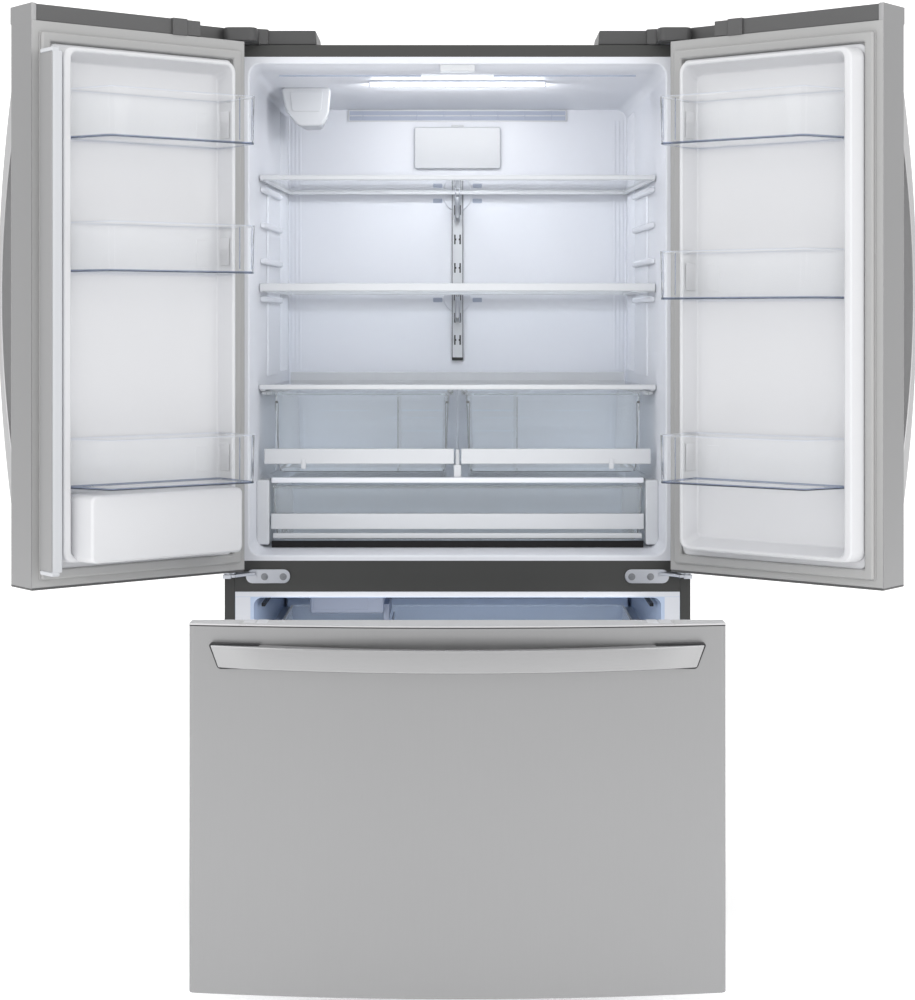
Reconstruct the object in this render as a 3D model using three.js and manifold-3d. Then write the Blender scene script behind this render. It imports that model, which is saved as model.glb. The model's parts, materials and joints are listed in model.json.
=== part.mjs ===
// French door refrigerator with a bottom freezer drawer, in millimetres.
// +X is the viewer's right, +Y runs to the back and +Z is up.
// It is built with both doors swung open and the freezer drawer pulled out.
import * as THREE from 'three';
import { mergeVertices } from 'three/addons/utils/BufferGeometryUtils.js';
import Module from 'manifold-3d';

const wasm = await Module();
wasm.setup();

// ---- driving dimensions ----
const GAP = 0.3; // between pieces that touch
const FRONT = -66; // y of the cabinet's front plane, so that the whole part is centred
const HALF = 454; // half the cabinet's width
const DEPTH = 750; // cabinet depth without doors
const TOP = 1737; // top of the case
const CASE_BOTTOM = 64;
const SHEET = 2; // case sheet
const FLANGE = 20.4; // width of the case's front flange
const RAIL_BOTTOM = 671; // dark rail between the two compartments
const RAIL_TOP = 732;
const FRESH_BACK = 618; // depth of the fresh food compartment
const FREEZER_BACK = 600;
const FREEZER_STEP = 500; // depth of the freezer below the machine room's step
const ROOM_TOP = 290; // top of the machine room
const LINER = 3; // liner thickness

const DOOR_BOTTOM = 717;
const DOOR_TOP = 1736;
const CAP_TOP = 1767;
const DOOR_THICK = 82; // at the middle of the cabinet
const DOOR_BOW = 34; // how much thinner it is at the cabinet's side
const DOOR_GAP = 12.8; // from the cabinet's front plane to the door's inner face
const PIVOT_X = 439.2;
const PIVOT_Y = 42.4; // in front of the cabinet
const INNER = PIVOT_Y - DOOR_GAP; // door's inner face, behind the pivot
const HINGE_EDGE = PIVOT_X - HALF; // distances from the pivot toward the free edge
const FREE_EDGE = PIVOT_X - 3;
const DOOR_OPEN = THREE.MathUtils.degToRad(141);
const FLAP_U = 423; // mullion flap's axis, from the pivot
const FLAP_W = 19; // and behind the door's inner face
const GASKET = 12;

const DRAWER_BOTTOM = 64;
const DRAWER_TOP = 688;
const DRAWER_OUT = 470;

// ---- materials ----
const paint = (color, roughness, metalness = 0) =>
  new THREE.MeshStandardMaterial({ color, roughness, metalness });
const steel = () => paint(0xb0b0b1, 0.35, 0.9);
const darkPaint = () => paint(0x474847, 0.5, 0.3);
const white = () => paint(0xdde2ea, 0.35);
const grey = () => paint(0xb5b6b4, 0.6);
const darkPlastic = () => paint(0x6a6a6a, 0.5);
const clear = () => paint(0xb4bfd0, 0.15);
const zinc = () => paint(0xb8bdc6, 0.35, 0.8);
const blackSteel = () => paint(0x2b2c2e, 0.5, 0.4);

// ---- geometry helpers ----
function solid(geometry) {
  const bare = geometry.clone();
  bare.deleteAttribute('normal');
  bare.deleteAttribute('uv');
  const merged = mergeVertices(bare, 1e-4);
  return new wasm.Manifold(new wasm.Mesh({
    numProp: 3,
    vertProperties: new Float32Array(merged.attributes.position.array),
    triVerts: new Uint32Array(merged.index.array),
  }));
}

function geometryOf(manifold) {
  const result = manifold.getMesh();
  const geometry = new THREE.BufferGeometry();
  geometry.setAttribute('position', new THREE.BufferAttribute(result.vertProperties, 3));
  geometry.setIndex(new THREE.BufferAttribute(result.triVerts, 1));
  return geometry;
}

const join = (...pieces) =>
  geometryOf(pieces.map(solid).reduce((whole, piece) => whole.add(piece)));
const cut = (body, ...tools) =>
  geometryOf(tools.map(solid).reduce((whole, tool) => whole.subtract(tool), solid(body)));
const common = (a, b) => geometryOf(solid(a).intersect(solid(b)));

function block(x0, x1, y0, y1, z0, z1) {
  const geometry = new THREE.BoxGeometry(x1 - x0, y1 - y0, z1 - z0);
  return geometry.translate((x0 + x1) / 2, (y0 + y1) / 2, (z0 + z1) / 2);
}

// a round bar between two ends along an axis
function rod(axis, a, b, start, end, radius, sides = 16) {
  const geometry = new THREE.CylinderGeometry(radius, radius, end - start, sides);
  const middle = (start + end) / 2;
  if (axis === 'x') return geometry.rotateZ(Math.PI / 2).translate(middle, a, b);
  if (axis === 'y') return geometry.translate(a, middle, b);
  return geometry.rotateX(Math.PI / 2).translate(a, b, middle);
}

const AXES = {
  z: [new THREE.Vector3(1, 0, 0), new THREE.Vector3(0, 1, 0), new THREE.Vector3(0, 0, 1)],
  y: [new THREE.Vector3(1, 0, 0), new THREE.Vector3(0, 0, 1), new THREE.Vector3(0, -1, 0)],
  x: [new THREE.Vector3(0, 1, 0), new THREE.Vector3(0, 0, 1), new THREE.Vector3(1, 0, 0)],
};

// a flat outline given its thickness along z, y or x
function plate(axis, shape, start, end, curveSegments = 4) {
  const geometry = new THREE.ExtrudeGeometry(shape, {
    depth: end - start, bevelEnabled: false, curveSegments,
  });
  if (axis === 'y') geometry.translate(0, 0, -end);
  else geometry.translate(0, 0, start);
  return geometry.applyMatrix4(new THREE.Matrix4().makeBasis(...AXES[axis]));
}

function rounded(x0, x1, y0, y1, r) {
  const shape = new THREE.Shape();
  shape.moveTo(x0 + r, y0);
  shape.lineTo(x1 - r, y0);
  shape.absarc(x1 - r, y0 + r, r, -Math.PI / 2, 0);
  shape.lineTo(x1, y1 - r);
  shape.absarc(x1 - r, y1 - r, r, 0, Math.PI / 2);
  shape.lineTo(x0 + r, y1);
  shape.absarc(x0 + r, y1 - r, r, Math.PI / 2, Math.PI);
  shape.lineTo(x0, y0 + r);
  shape.absarc(x0 + r, y0 + r, r, Math.PI, 1.5 * Math.PI);
  return shape;
}

const outline = (shape, segments = 3) => {
  const points = shape.getPoints(segments);
  const kept = points.filter((p, i) => p.distanceTo(points[(i + 1) % points.length]) > 1e-3);
  return kept;
};
const frame = (x0, x1, y0, y1, r) => outline(rounded(x0, x1, y0, y1, r));

// moves every side of a convex outline inward by a distance
function inset(points, distance) {
  const count = points.length;
  return points.map((point, i) => {
    const before = points[(i + count - 1) % count];
    const after = points[(i + 1) % count];
    const a = point.clone().sub(before).normalize();
    const b = after.clone().sub(point).normalize();
    const normalA = new THREE.Vector2(-a.y, a.x);
    const normalB = new THREE.Vector2(-b.y, b.x);
    const bisector = normalA.clone().add(normalB);
    return point.clone().add(bisector.multiplyScalar(distance / (1 + normalA.dot(normalB))));
  });
}

// a closed solid through a stack of outlines, each [points, level]
function loft(axis, rings) {
  const [right, up] = AXES[axis];
  const along = axis === 'z' ? new THREE.Vector3(0, 0, 1) : new THREE.Vector3(0, 1, 0);
  const count = rings[0][0].length;
  const positions = [];
  for (const [points, level] of rings) {
    for (const p of points) {
      const v = right.clone().multiplyScalar(p.x).addScaledVector(up, p.y);
      positions.push(...v.addScaledVector(along, level).toArray());
    }
  }
  const index = [];
  for (let k = 0; k + 1 < rings.length; k += 1) {
    for (let i = 0; i < count; i += 1) {
      const a = k * count + i;
      const b = k * count + ((i + 1) % count);
      index.push(a, b, b + count, a, b + count, a + count);
    }
  }
  const last = (rings.length - 1) * count;
  for (let i = 1; i + 1 < count; i += 1) {
    index.push(0, i + 1, i, last, last + i, last + i + 1);
  }
  const geometry = new THREE.BufferGeometry();
  geometry.setAttribute('position', new THREE.Float32BufferAttribute(positions, 3));
  geometry.setIndex(index);
  return outward(geometry);
}

// turns a closed surface so that its faces look outward
function outward(geometry) {
  const p = geometry.attributes.position;
  const index = geometry.index.array;
  const [a, b, c] = [new THREE.Vector3(), new THREE.Vector3(), new THREE.Vector3()];
  let volume = 0;
  for (let i = 0; i < index.length; i += 3) {
    a.fromBufferAttribute(p, index[i]);
    b.fromBufferAttribute(p, index[i + 1]);
    c.fromBufferAttribute(p, index[i + 2]);
    volume += a.dot(b.cross(c));
  }
  if (volume < 0) {
    for (let i = 0; i < index.length; i += 3) {
      [index[i], index[i + 1]] = [index[i + 1], index[i]];
    }
  }
  return geometry;
}

// an open topped box with a wall thickness, wider at the top by a draft
function tub(points, z0, z1, wall, draft) {
  return loft('z', [
    [inset(points, draft), z0],
    [points, z1],
    [inset(points, wall), z1],
    [inset(points, wall + draft), z0 + wall],
  ]);
}

// the same piece on the other side of the middle
function mirrored(geometry) {
  const copy = geometry.index ? geometry.clone() : mergeVertices(geometry);
  copy.scale(-1, 1, 1);
  return outward(copy);
}

function piece(parent, name, geometry, material) {
  const mesh = new THREE.Mesh(geometry, material);
  mesh.name = name;
  parent.add(mesh);
  return mesh;
}

const SIDES = [['left', -1], ['right', 1]];
const onSide = (side, geometry) => (side > 0 ? geometry : mirrored(geometry));

// ---- cabinet ----
const group = new THREE.Group();
const cabinet = new THREE.Group();
cabinet.position.y = FRONT;
group.add(cabinet);

function outerCase() {
  const inner = HALF - SHEET;
  const opening = HALF - FLANGE;
  return cut(
    block(-HALF, HALF, 0, DEPTH, CASE_BOTTOM, TOP),
    block(-inner, inner, SHEET, DEPTH - SHEET, CASE_BOTTOM - 5, TOP - SHEET),
    block(-opening, opening, -5, SHEET + 1, CASE_BOTTOM - 5, TOP - 23),
    block(-440, 440, DEPTH - 5, DEPTH + 5, CASE_BOTTOM - 5, ROOM_TOP),
  );
}

// space of the fresh food compartment, made larger all round by a distance
function freshSpace(grow) {
  const main = loft('y', [
    [frame(-406.5 - grow, 406.5 + grow, 742 - grow, 1685 + grow, 22), -5],
    [frame(-380 - grow, 380 + grow, 752 - grow, 1676 + grow, 22), FRESH_BACK + grow],
  ]);
  const lip = block(-398 - grow, 398 + grow, -5, 30 + grow, 1600, 1700 + grow);
  return join(main, lip);
}

// space of the freezer, which is shallower beside the machine room
function freezerSpace(grow) {
  const upper = loft('y', [
    [frame(-397 - grow, 397 + grow, 330 - grow, 660 + grow, 16), -5],
    [frame(-384 - grow, 384 + grow, 330 - grow, 655 + grow, 16), FREEZER_BACK + grow],
  ]);
  const lower = loft('y', [
    [frame(-397 - grow, 397 + grow, 112 - grow, 420 + grow, 16), -5],
    [frame(-384 - grow, 384 + grow, 118 - grow, 420 + grow, 16), FREEZER_STEP + grow],
  ]);
  return join(upper, lower);
}

function liner(space, z0, z1) {
  const edge = HALF - FLANGE - GAP;
  const shell = common(space(LINER), block(-460, 460, 0, DEPTH, 0, TOP));
  return cut(join(shell, block(-edge, edge, 0, LINER, z0, z1)), space(0));
}

function foam() {
  const edge = HALF - SHEET - GAP;
  const start = LINER + GAP * 2;
  const bulk = block(-edge, edge, start, DEPTH - SHEET - GAP, 66, TOP - SHEET - GAP);
  return cut(
    bulk,
    freshSpace(LINER + GAP),
    freezerSpace(LINER + GAP),
    block(-441, 441, 520, DEPTH + 5, 0, ROOM_TOP - 2),
  );
}

function centreRail() {
  const edge = HALF - FLANGE - GAP;
  return block(-edge, edge, 0, LINER, RAIL_BOTTOM + GAP, RAIL_TOP - GAP);
}

// steel rails under the cabinet with two fixed front feet, and the grille in front
function baseFrame() {
  const rails = [];
  for (const side of [-1, 1]) {
    const outer = side * 440;
    const inner = side * 405;
    rails.push(block(Math.min(outer, inner), Math.max(outer, inner), 20, 735, 30, 63.5));
    rails.push(rod('z', side * 400, 55, 0, 45, 19, 20));
  }
  const grille = block(-445, 445, 6, 26, 24, 63.5);
  const slots = [];
  for (let i = -12; i <= 12; i += 1) {
    slots.push(block(i * 30 - 10, i * 30 + 10, 0, 30, 36, 50));
  }
  const floor = block(-440, 440, 18, 740, 60, 63.5);
  const axles = SIDES.map(([, side]) => rod('x', 690, 27, side * 422 - 30, side * 422 + 30, 4, 12));
  const wells = SIDES.map(([, side]) => block(side * 422 - 12, side * 422 + 12, 655, 725, 0, 59));
  return join(
    cut(join(grille, floor, ...rails), ...slots, ...wells),
    ...axles,
  );
}

function roller(side) {
  const x = side * 422;
  return cut(rod('x', 690, 27, x - 10, x + 10, 27, 24), rod('x', 690, 27, x - 15, x + 15, 4.6, 12));
}

function machineCover() {
  const sheet = block(-438, 438, DEPTH - 1.8, DEPTH - GAP, 66, ROOM_TOP - 2);
  const vents = [];
  for (let row = 0; row < 4; row += 1) {
    for (const x of [-300, -180, 180, 300]) {
      vents.push(block(x - 40, x + 40, DEPTH - 10, DEPTH + 5, 110 + row * 36, 122 + row * 36));
    }
  }
  return cut(sheet, ...vents);
}

// hermetic compressor: a round can with a domed top on a mounting plate
function compressor() {
  const profile = [
    [0, 68], [78, 68], [78, 74], [72, 74], [84, 92], [84, 165], [66, 200], [30, 214], [0, 216],
  ].map(([r, z]) => new THREE.Vector2(r, z));
  const can = new THREE.LatheGeometry(profile, 24).rotateX(Math.PI / 2).translate(-250, 640, 0);
  const feet = block(-345, -155, 600, 680, 64, 69.5);
  return join(can, feet);
}

// the condenser: rows of tube with side plates
function condenser() {
  const tubes = [];
  for (let row = 0; row < 4; row += 1) {
    for (let column = 0; column < 3; column += 1) {
      tubes.push(rod('x', 600 + column * 36, 96 + row * 36, 150, 400, 4, 8));
    }
  }
  const ends = [150, 396].map((x) => block(x, x + 4, 585, 688, 64, 225));
  return join(...ends, ...tubes);
}

// a fan turned about its own shaft, which lies along an axis through the origin
function fanWheel(radius, blades) {
  const parts = [rod('y', 0, 0, -12, 12, radius * 0.28, 16)];
  for (let i = 0; i < blades; i += 1) {
    const blade = block(-radius * 0.16, radius * 0.16, -1.2, 1.2, radius * 0.2, radius);
    blade.rotateZ(0.5).rotateY((i * 2 * Math.PI) / blades);
    parts.push(blade);
  }
  return join(...parts);
}

function evaporator() {
  const fins = [];
  for (let i = 0; i < 6; i += 1) {
    fins.push(block(-252 + i * 100, -249 + i * 100, 563, 593, 345, 520));
  }
  const tubes = [];
  for (let i = 0; i < 4; i += 1) {
    tubes.push(rod('x', 578, 365 + i * 44, -262, 262, 4.5, 8));
  }
  return join(...fins, ...tubes);
}

// white panel in front of the evaporator, with an opening for its fan and return slots
function evaporatorCover() {
  const sheet = plate('y', rounded(-378, 378, 334, 650, 14), 545, 549);
  const slots = [];
  for (let i = -4; i <= 4; i += 1) {
    slots.push(block(i * 70 - 25, i * 70 + 25, 540, 555, 344, 352));
  }
  return cut(sheet, rod('y', 0, 592, 540, 560, 48, 24), ...slots);
}

function airDuctPanel() {
  const y = FRESH_BACK - GAP;
  const bar = block(-247, 247, y - 4, y, 1648, 1675);
  const neck = block(-90, 90, y - 4, y, 1600, 1650);
  const box = plate('y', rounded(-96.5, 96.5, 1542, 1635, 6), y - 16, y);
  const louvres = [1653, 1665].map((z) => block(-235, 235, y - 10, y - 1.5, z, z + 5));
  const notch = rod('y', 0, 1640, y - 20, y - 12, 9, 16);
  return cut(join(bar, neck, box), ...louvres, notch);
}

function shelfTrack() {
  const y = FRESH_BACK - GAP;
  const bar = block(-11.5, 11.5, y - 8, y, 1113, 1500);
  const slots = [];
  for (const z of [1140, 1200, 1260, 1330, 1390, 1440]) {
    for (const x of [-5.5, 5.5]) {
      slots.push(block(x - 2, x + 2, y - 12, y - 3, z, z + 22));
    }
  }
  return cut(bar, ...slots);
}

function lamp() {
  return plate('x', rounded(120, 154, 1670, 1679, 3), -175, 175);
}

function filterHousing() {
  const body = loft('y', [
    [frame(-362, -266, 1606, 1672, 18), 236],
    [frame(-368, -258, 1598, 1676, 20), 262],
    [frame(-368, -258, 1598, 1678, 20), 470],
  ]);
  return cut(body, block(-345, -285, 230, 240, 1622, 1640));
}

function upperHinge() {
  const shape = new THREE.Shape();
  shape.moveTo(330, 20);
  shape.lineTo(380, 20);
  shape.lineTo(PIVOT_X - 9, -PIVOT_Y);
  shape.absarc(PIVOT_X, -PIVOT_Y, 9, Math.PI, 2 * Math.PI);
  shape.lineTo(PIVOT_X + 8, 100);
  shape.lineTo(330, 100);
  const arm = plate('z', shape, TOP + GAP, TOP + 5);
  return join(arm, rod('z', PIVOT_X, -PIVOT_Y, 1712, TOP + 4, 5.5));
}

function hingeCover() {
  const top = 1768;
  const shape = new THREE.Shape();
  shape.moveTo(275, 4);
  shape.lineTo(384, -4);
  shape.lineTo(386, -52);
  shape.lineTo(394, -60);
  shape.lineTo(444, -60);
  shape.lineTo(452, -52);
  shape.lineTo(452, 150);
  shape.lineTo(275, 150);
  const points = outline(shape);
  const hollow = inset(points, 3);
  const shell = loft('z', [
    [points, TOP + GAP],
    [points, top - 4],
    [inset(points, 4), top],
  ]);
  return cut(shell, loft('z', [[hollow, TOP - 5], [hollow, top - 5]]));
}

function lowerHinge() {
  const face = rounded(326, 412, 688, 715, 13);
  const arm = new THREE.Shape();
  arm.moveTo(392, -GAP);
  arm.lineTo(392, -14);
  arm.lineTo(PIVOT_X - 13, -PIVOT_Y - 4);
  arm.absarc(PIVOT_X, -PIVOT_Y, 13, Math.PI, 2 * Math.PI);
  arm.lineTo(PIVOT_X + 13, -6);
  arm.lineTo(412, -GAP);
  const screws = [339.4, 375.8].map((x) => rod('y', x, 701, -6.5, -2, 6.5, 12));
  return join(
    plate('y', face, -4, -GAP),
    plate('z', arm, 705, 711),
    block(388, 412, -4, -GAP, 700, 711),
    rod('z', PIVOT_X, -PIVOT_Y, 708, 742, 6),
    ...screws,
  );
}

function mullionGuide() {
  const body = block(-34, 34, 3, 28, 1686, 1699.7);
  return cut(body, block(-9, 20, -5, 20, 1680, 1692));
}

// glass shelf in its moulded frame, with the two arms that hook into the centre track
function shelf(z, thick) {
  const back = 588;
  const sheet = plate('z', tapered(390, 370, 134, back - 4), z + thick - 7, z + thick - 2);
  const front = block(-399.5, 399.5, 130, 142, z, z + thick);
  const rear = block(-378, 378, back - 8, back, z, z + 20);
  const sides = SIDES.map(([, side]) => onSide(side, plate('z', sideRail(back), z, z + thick - 3)));
  const arms = [-9, 9].map((x) => block(x - 2, x + 2, 300, 606, z - 32, z + 2));
  const tie = block(-11, 11, 596, 606, z - 32, z - 8);
  return join(sheet, front, rear, ...sides, ...arms, tie);
}

// a four sided outline that narrows toward the back as the liner does
function tapered(front, rear, y0, y1) {
  return new THREE.Shape([
    new THREE.Vector2(-front, y0), new THREE.Vector2(front, y0),
    new THREE.Vector2(rear, y1), new THREE.Vector2(-rear, y1),
  ]);
}

function sideRail(back) {
  const shape = new THREE.Shape();
  shape.moveTo(386, 132);
  shape.lineTo(399, 132);
  shape.lineTo(378, back);
  shape.lineTo(366, back);
  return shape;
}

// glass lid over the crispers, in its frame
function crisperCover() {
  const sheet = plate('z', tapered(390, 370, 130, 564), 1063, 1068);
  const front = block(-399.5, 399.5, 124, 138, 1061, 1071);
  const sides = SIDES.map(([, side]) => onSide(side, plate('z', sideRail(575), 1060.5, 1069)));
  const divider = block(-5, 5, 150, 560, 896, 1064);
  const rear = block(-372, 372, 560, 575, 1061, 1084);
  return join(sheet, front, rear, ...sides, divider);
}

// floor under the crispers with a cheek at each side of the pantry drawer
function pantryFrame() {
  const floor = loft('z', [
    [frame(-392, 392, 118, 150, 2), 877],
    [frame(-392, 392, 118, 150, 2), 889],
  ]);
  const deck = block(-374, 374, 140, 575, 879, 884);
  const cheeks = SIDES.map(([, side]) => onSide(side, join(
    block(378, 394, 100, 240, 776, 880),
    block(374.5, 380.5, 200, 570, 776, 883),
  )));
  return join(floor, deck, ...cheeks);
}

function iceMaker() {
  const body = plate('x', rounded(170, 400, 604, 656.5, 10), -300, -150);
  const bail = block(-152, -140, 200, 380, 585, 620);
  return join(body, bail);
}

piece(cabinet, 'outer_case', outerCase(), darkPaint());
piece(cabinet, 'insulation_foam', foam(), paint(0xe6d9a8, 0.9));
piece(cabinet, 'fresh_liner', liner(freshSpace, RAIL_TOP, TOP - 23 - GAP), white());
piece(cabinet, 'freezer_liner', liner(freezerSpace, 84, RAIL_BOTTOM), white());
piece(cabinet, 'centre_rail', centreRail(), darkPaint());
piece(cabinet, 'base_frame', baseFrame(), blackSteel());
piece(cabinet, 'machine_cover', machineCover(), paint(0x8b8d8f, 0.6, 0.5));
piece(cabinet, 'compressor', compressor(), blackSteel());
piece(cabinet, 'condenser', condenser(), blackSteel());
piece(cabinet, 'evaporator', evaporator(), zinc());
piece(cabinet, 'evaporator_cover', evaporatorCover(), white());
piece(cabinet, 'air_duct_panel', airDuctPanel(), white());
piece(cabinet, 'shelf_track', shelfTrack(), white());
piece(cabinet, 'ceiling_lamp', lamp(), paint(0xf6f8ff, 0.2));
piece(cabinet, 'filter_housing', filterHousing(), white());
piece(cabinet, 'mullion_guide', mullionGuide(), white());
piece(cabinet, 'upper_shelf', shelf(1483, 10), clear());
piece(cabinet, 'middle_shelf', shelf(1259, 16), clear());
piece(cabinet, 'crisper_cover', crisperCover(), clear());
piece(cabinet, 'pantry_frame', pantryFrame(), white());
piece(cabinet, 'ice_maker', iceMaker(), paint(0x8694ae, 0.4));
for (const [name, side] of SIDES) {
  piece(cabinet, `upper_hinge_${name}`, onSide(side, upperHinge()), zinc());
  piece(cabinet, `hinge_cover_${name}`, onSide(side, hingeCover()), darkPlastic());
  piece(cabinet, `lower_hinge_${name}`, onSide(side, lowerHinge()), zinc());
  piece(cabinet, `rear_roller_${name}`, roller(side), blackSteel());
}

// a fan stands on its own shaft at its place in the cabinet
function placeFan(name, wheel, x, y, z) {
  const fan = piece(cabinet, name, wheel, paint(0x3a3d42, 0.5));
  fan.position.set(x, y, z);
}
placeFan('condenser_fan', fanWheel(62, 5), 30, 640, 150);
placeFan('evaporator_fan', fanWheel(42, 5), 0, 565, 592);

// ---- drawers inside ----
const VENT = 304;  // inner side of the vent slider, from the cabinet's middle

function crisper(side) {
  const shape = new THREE.Shape();
  shape.moveTo(7, 128);
  shape.lineTo(388, 128);
  shape.lineTo(371, 560);
  shape.lineTo(7, 560);
  const box = tub(outline(shape), 894, 1056, 3, 5);
  const band = block(7, 388.7, 122, 127.9, 912, 942);
  const web = block(20, 370, 126, 133, 915, 939);
  const slot = block(VENT - 4, VENT + 32, 118, 125, 917, 923);
  return onSide(side, cut(join(box, band, web), slot));
}

// white tab that opens or shuts the crisper's air vent
function humiditySlider(side) {
  return onSide(side, block(VENT, VENT + 10, 119.5, 124.6, 917.6, 922.4));
}

function pantryDrawer() {
  const box = tub(frame(-372, 372, 116, 555, 8), 760, 868, 3, 4);
  const band = block(-374, 374, 110, 120, 782, 813);
  return join(box, band);
}

for (const [name, side] of SIDES) {
  piece(cabinet, `crisper_${name}`, crisper(side), clear());
  piece(cabinet, `humidity_slider_${name}`, humiditySlider(side), white());
}
piece(cabinet, 'pantry_drawer', pantryDrawer(), clear());

function freezerTray() {
  const box = tub(frame(-366, 366, 60, 520, 14), 450, 574, 3, 6);
  const divider = block(-141, -138, 66, 514, 452, 560);
  const rims = SIDES.map(([, side]) => onSide(side, block(362, 383, 70, 500, 568, 574)));
  return join(box, divider, ...rims);
}
piece(cabinet, 'freezer_tray', freezerTray(), clear());

// ---- doors and drawer front ----
// depth of the front face behind the door's inner face, at a distance from the cabinet's middle
const thickness = (x) => DOOR_THICK - DOOR_BOW * (x / HALF) ** 2;

// the door's section seen from above, from the hinge side to the free edge
function doorSection(less) {
  const u0 = HINGE_EDGE + less;
  const u1 = FREE_EDGE - less;
  const points = [new THREE.Vector2(u0, INNER - less)];
  const front = (u) => INNER - thickness(PIVOT_X - u) + less;
  points.push(new THREE.Vector2(u0, front(u0) + 10));
  points.push(new THREE.Vector2(u0 + 3, front(u0) + 3));
  const steps = 8;
  for (let i = 0; i <= steps; i += 1) {
    const u = u0 + 10 + ((u1 - u0 - 14) * i) / steps;
    points.push(new THREE.Vector2(u, front(u)));
  }
  points.push(new THREE.Vector2(u1, front(u1) + 4));
  points.push(new THREE.Vector2(u1, INNER - less));
  return new THREE.Shape(points);
}

function doorSkin() {
  const window = block(0, 422, INNER - 10, INNER + 5, DOOR_BOTTOM - 5, DOOR_TOP + 5);
  const pocket = plate('z', doorSection(1.5), DOOR_BOTTOM - 5, DOOR_TOP + 5);
  return cut(plate('z', doorSection(0), DOOR_BOTTOM, DOOR_TOP), pocket, window);
}

const bandFrame = (grow) => rounded(16 - grow, 404 + grow, 752 - grow, 1697 + grow, 12);

// inner liner foamed onto its core, with raised sides that carry the bins
function doorCore(pod, lugs) {
  const fill = plate('z', doorSection(1.5 + GAP), DOOR_BOTTOM + GAP, DOOR_TOP - GAP);
  const neck = block(GAP, 422 - GAP, INNER - 6, INNER, DOOR_BOTTOM + GAP, DOOR_TOP - GAP);
  const sheet = plate('y', bandFrame(0), INNER - 2, INNER + 5);
  const ridge = loft('y', [
    [frame(38, 403, 764, 1685, 14), INNER + 4],
    [frame(40.5, 399, 768, 1680, 14), INNER + 46],
    [frame(43, 395, 772, 1676, 14), INNER + 50],
  ]);
  const well = loft('y', [
    [frame(49, 369, 800, 1655, 10), INNER + 5],
    [frame(48, 370, 790, 1660, 10), INNER + 60],
  ]);
  const parts = [fill, neck, sheet, cut(ridge, well)];
  if (pod) {
    parts.push(loft('y', [
      [frame(47, 371, 775, 890, 12), INNER + 4],
      [frame(47, 366, 775, 882, 12), INNER + 88],
      [frame(54, 358, 780, 874, 12), INNER + 95],
    ]));
  }
  for (const z of lugs) {
    parts.push(block(400, FLAP_U + 3.5, INNER + FLAP_W - 3.5, INNER + FLAP_W + 3.5, z - 15, z + 15));
    parts.push(rod('z', FLAP_U, INNER + FLAP_W, z - 24, z + 24, 2, 12));
  }
  return cut(
    join(...parts),
    rod('z', 0, 0, DOOR_BOTTOM - 5, 744, 7),
    rod('z', 0, 0, 1710, DOOR_TOP + 5, 6.5),
  );
}

function gasketRing(outer, inner) {
  return cut(plate('y', outer, INNER + GAP, INNER + GASKET), plate('y', inner, INNER - 5, INNER + 20));
}

const doorGasket = () => gasketRing(rounded(-2, 422, 735, 1717, 8), bandFrame(GAP));

function doorCap() {
  const trim = plate('z', doorSection(0.5), DOOR_TOP + GAP, CAP_TOP);
  return common(trim, block(83, 450, -100, 100, DOOR_TOP, CAP_TOP + 5));
}

// a bowed bar standing on its two ends; base is the height of the surface under it
function bowBar(half, endProud, middleProud, base) {
  const foot = half * 0.8;
  const points = [];
  const steps = 12;
  const arc = (t, high) => high * (1 - t * t);
  for (let i = 0; i <= steps; i += 1) {
    const t = -1 + (2 * i) / steps;
    points.push(new THREE.Vector2(t * half, endProud + arc(t, middleProud - endProud)));
  }
  for (let i = 0; i <= 3; i += 1) {
    const s = half - ((half - foot) * i) / 3;
    points.push(new THREE.Vector2(s, base(s)));
  }
  for (let i = 1; i < steps; i += 1) {
    const t = 1 - (2 * i) / steps;
    const low = base(foot);
    points.push(new THREE.Vector2(t * foot, low + arc(t, middleProud - 18 - low)));
  }
  for (let i = 3; i >= 0; i -= 1) {
    const s = half - ((half - foot) * i) / 3;
    points.push(new THREE.Vector2(-s, base(s)));
  }
  return new THREE.Shape(points);
}

const DOOR_HANDLE_Z = 1241;
const DOOR_HANDLE_HALF = 415;

function doorHandle() {
  const u0 = FREE_EDGE - 12 - 38;
  const u1 = FREE_EDGE - 12;
  const face = INNER - thickness(PIVOT_X - u0) - 0.5;
  const bar = plate('z', bowBar(DOOR_HANDLE_HALF, 11, 75, () => 0.5), u0, u1);
  // length becomes z, height becomes -y and width becomes x
  bar.applyMatrix4(new THREE.Matrix4().makeBasis(
    new THREE.Vector3(0, 0, 1), new THREE.Vector3(0, -1, 0), new THREE.Vector3(1, 0, 0),
  ));
  bar.translate(0, face + 0.5, DOOR_HANDLE_Z);
  const outlineShape = new THREE.Shape();
  outlineShape.moveTo(u0, DOOR_HANDLE_Z - DOOR_HANDLE_HALF + 14);
  outlineShape.lineTo(u1, DOOR_HANDLE_Z - DOOR_HANDLE_HALF);
  outlineShape.lineTo(u1, DOOR_HANDLE_Z + DOOR_HANDLE_HALF);
  outlineShape.lineTo(u0, DOOR_HANDLE_Z + DOOR_HANDLE_HALF - 14);
  return common(bar, plate('y', outlineShape, -200, 50));
}

// a door bin from above: distance from the pivot and depth from the door's inner face
const BIN_PLAN = [[50, 6.5], [367, 6.5], [367, 18], [338, 122], [60, 135], [50, 128]];
const BIN_HEIGHT = 90;
const BIN_WALL = 3;

// clear bin whose front slants back to the liner at the free side
function doorBin(z) {
  const points = BIN_PLAN.map(([u, w]) => new THREE.Vector2(u, INNER + w));
  return tub(points, z, z + BIN_HEIGHT, BIN_WALL, BIN_WALL);
}

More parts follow.
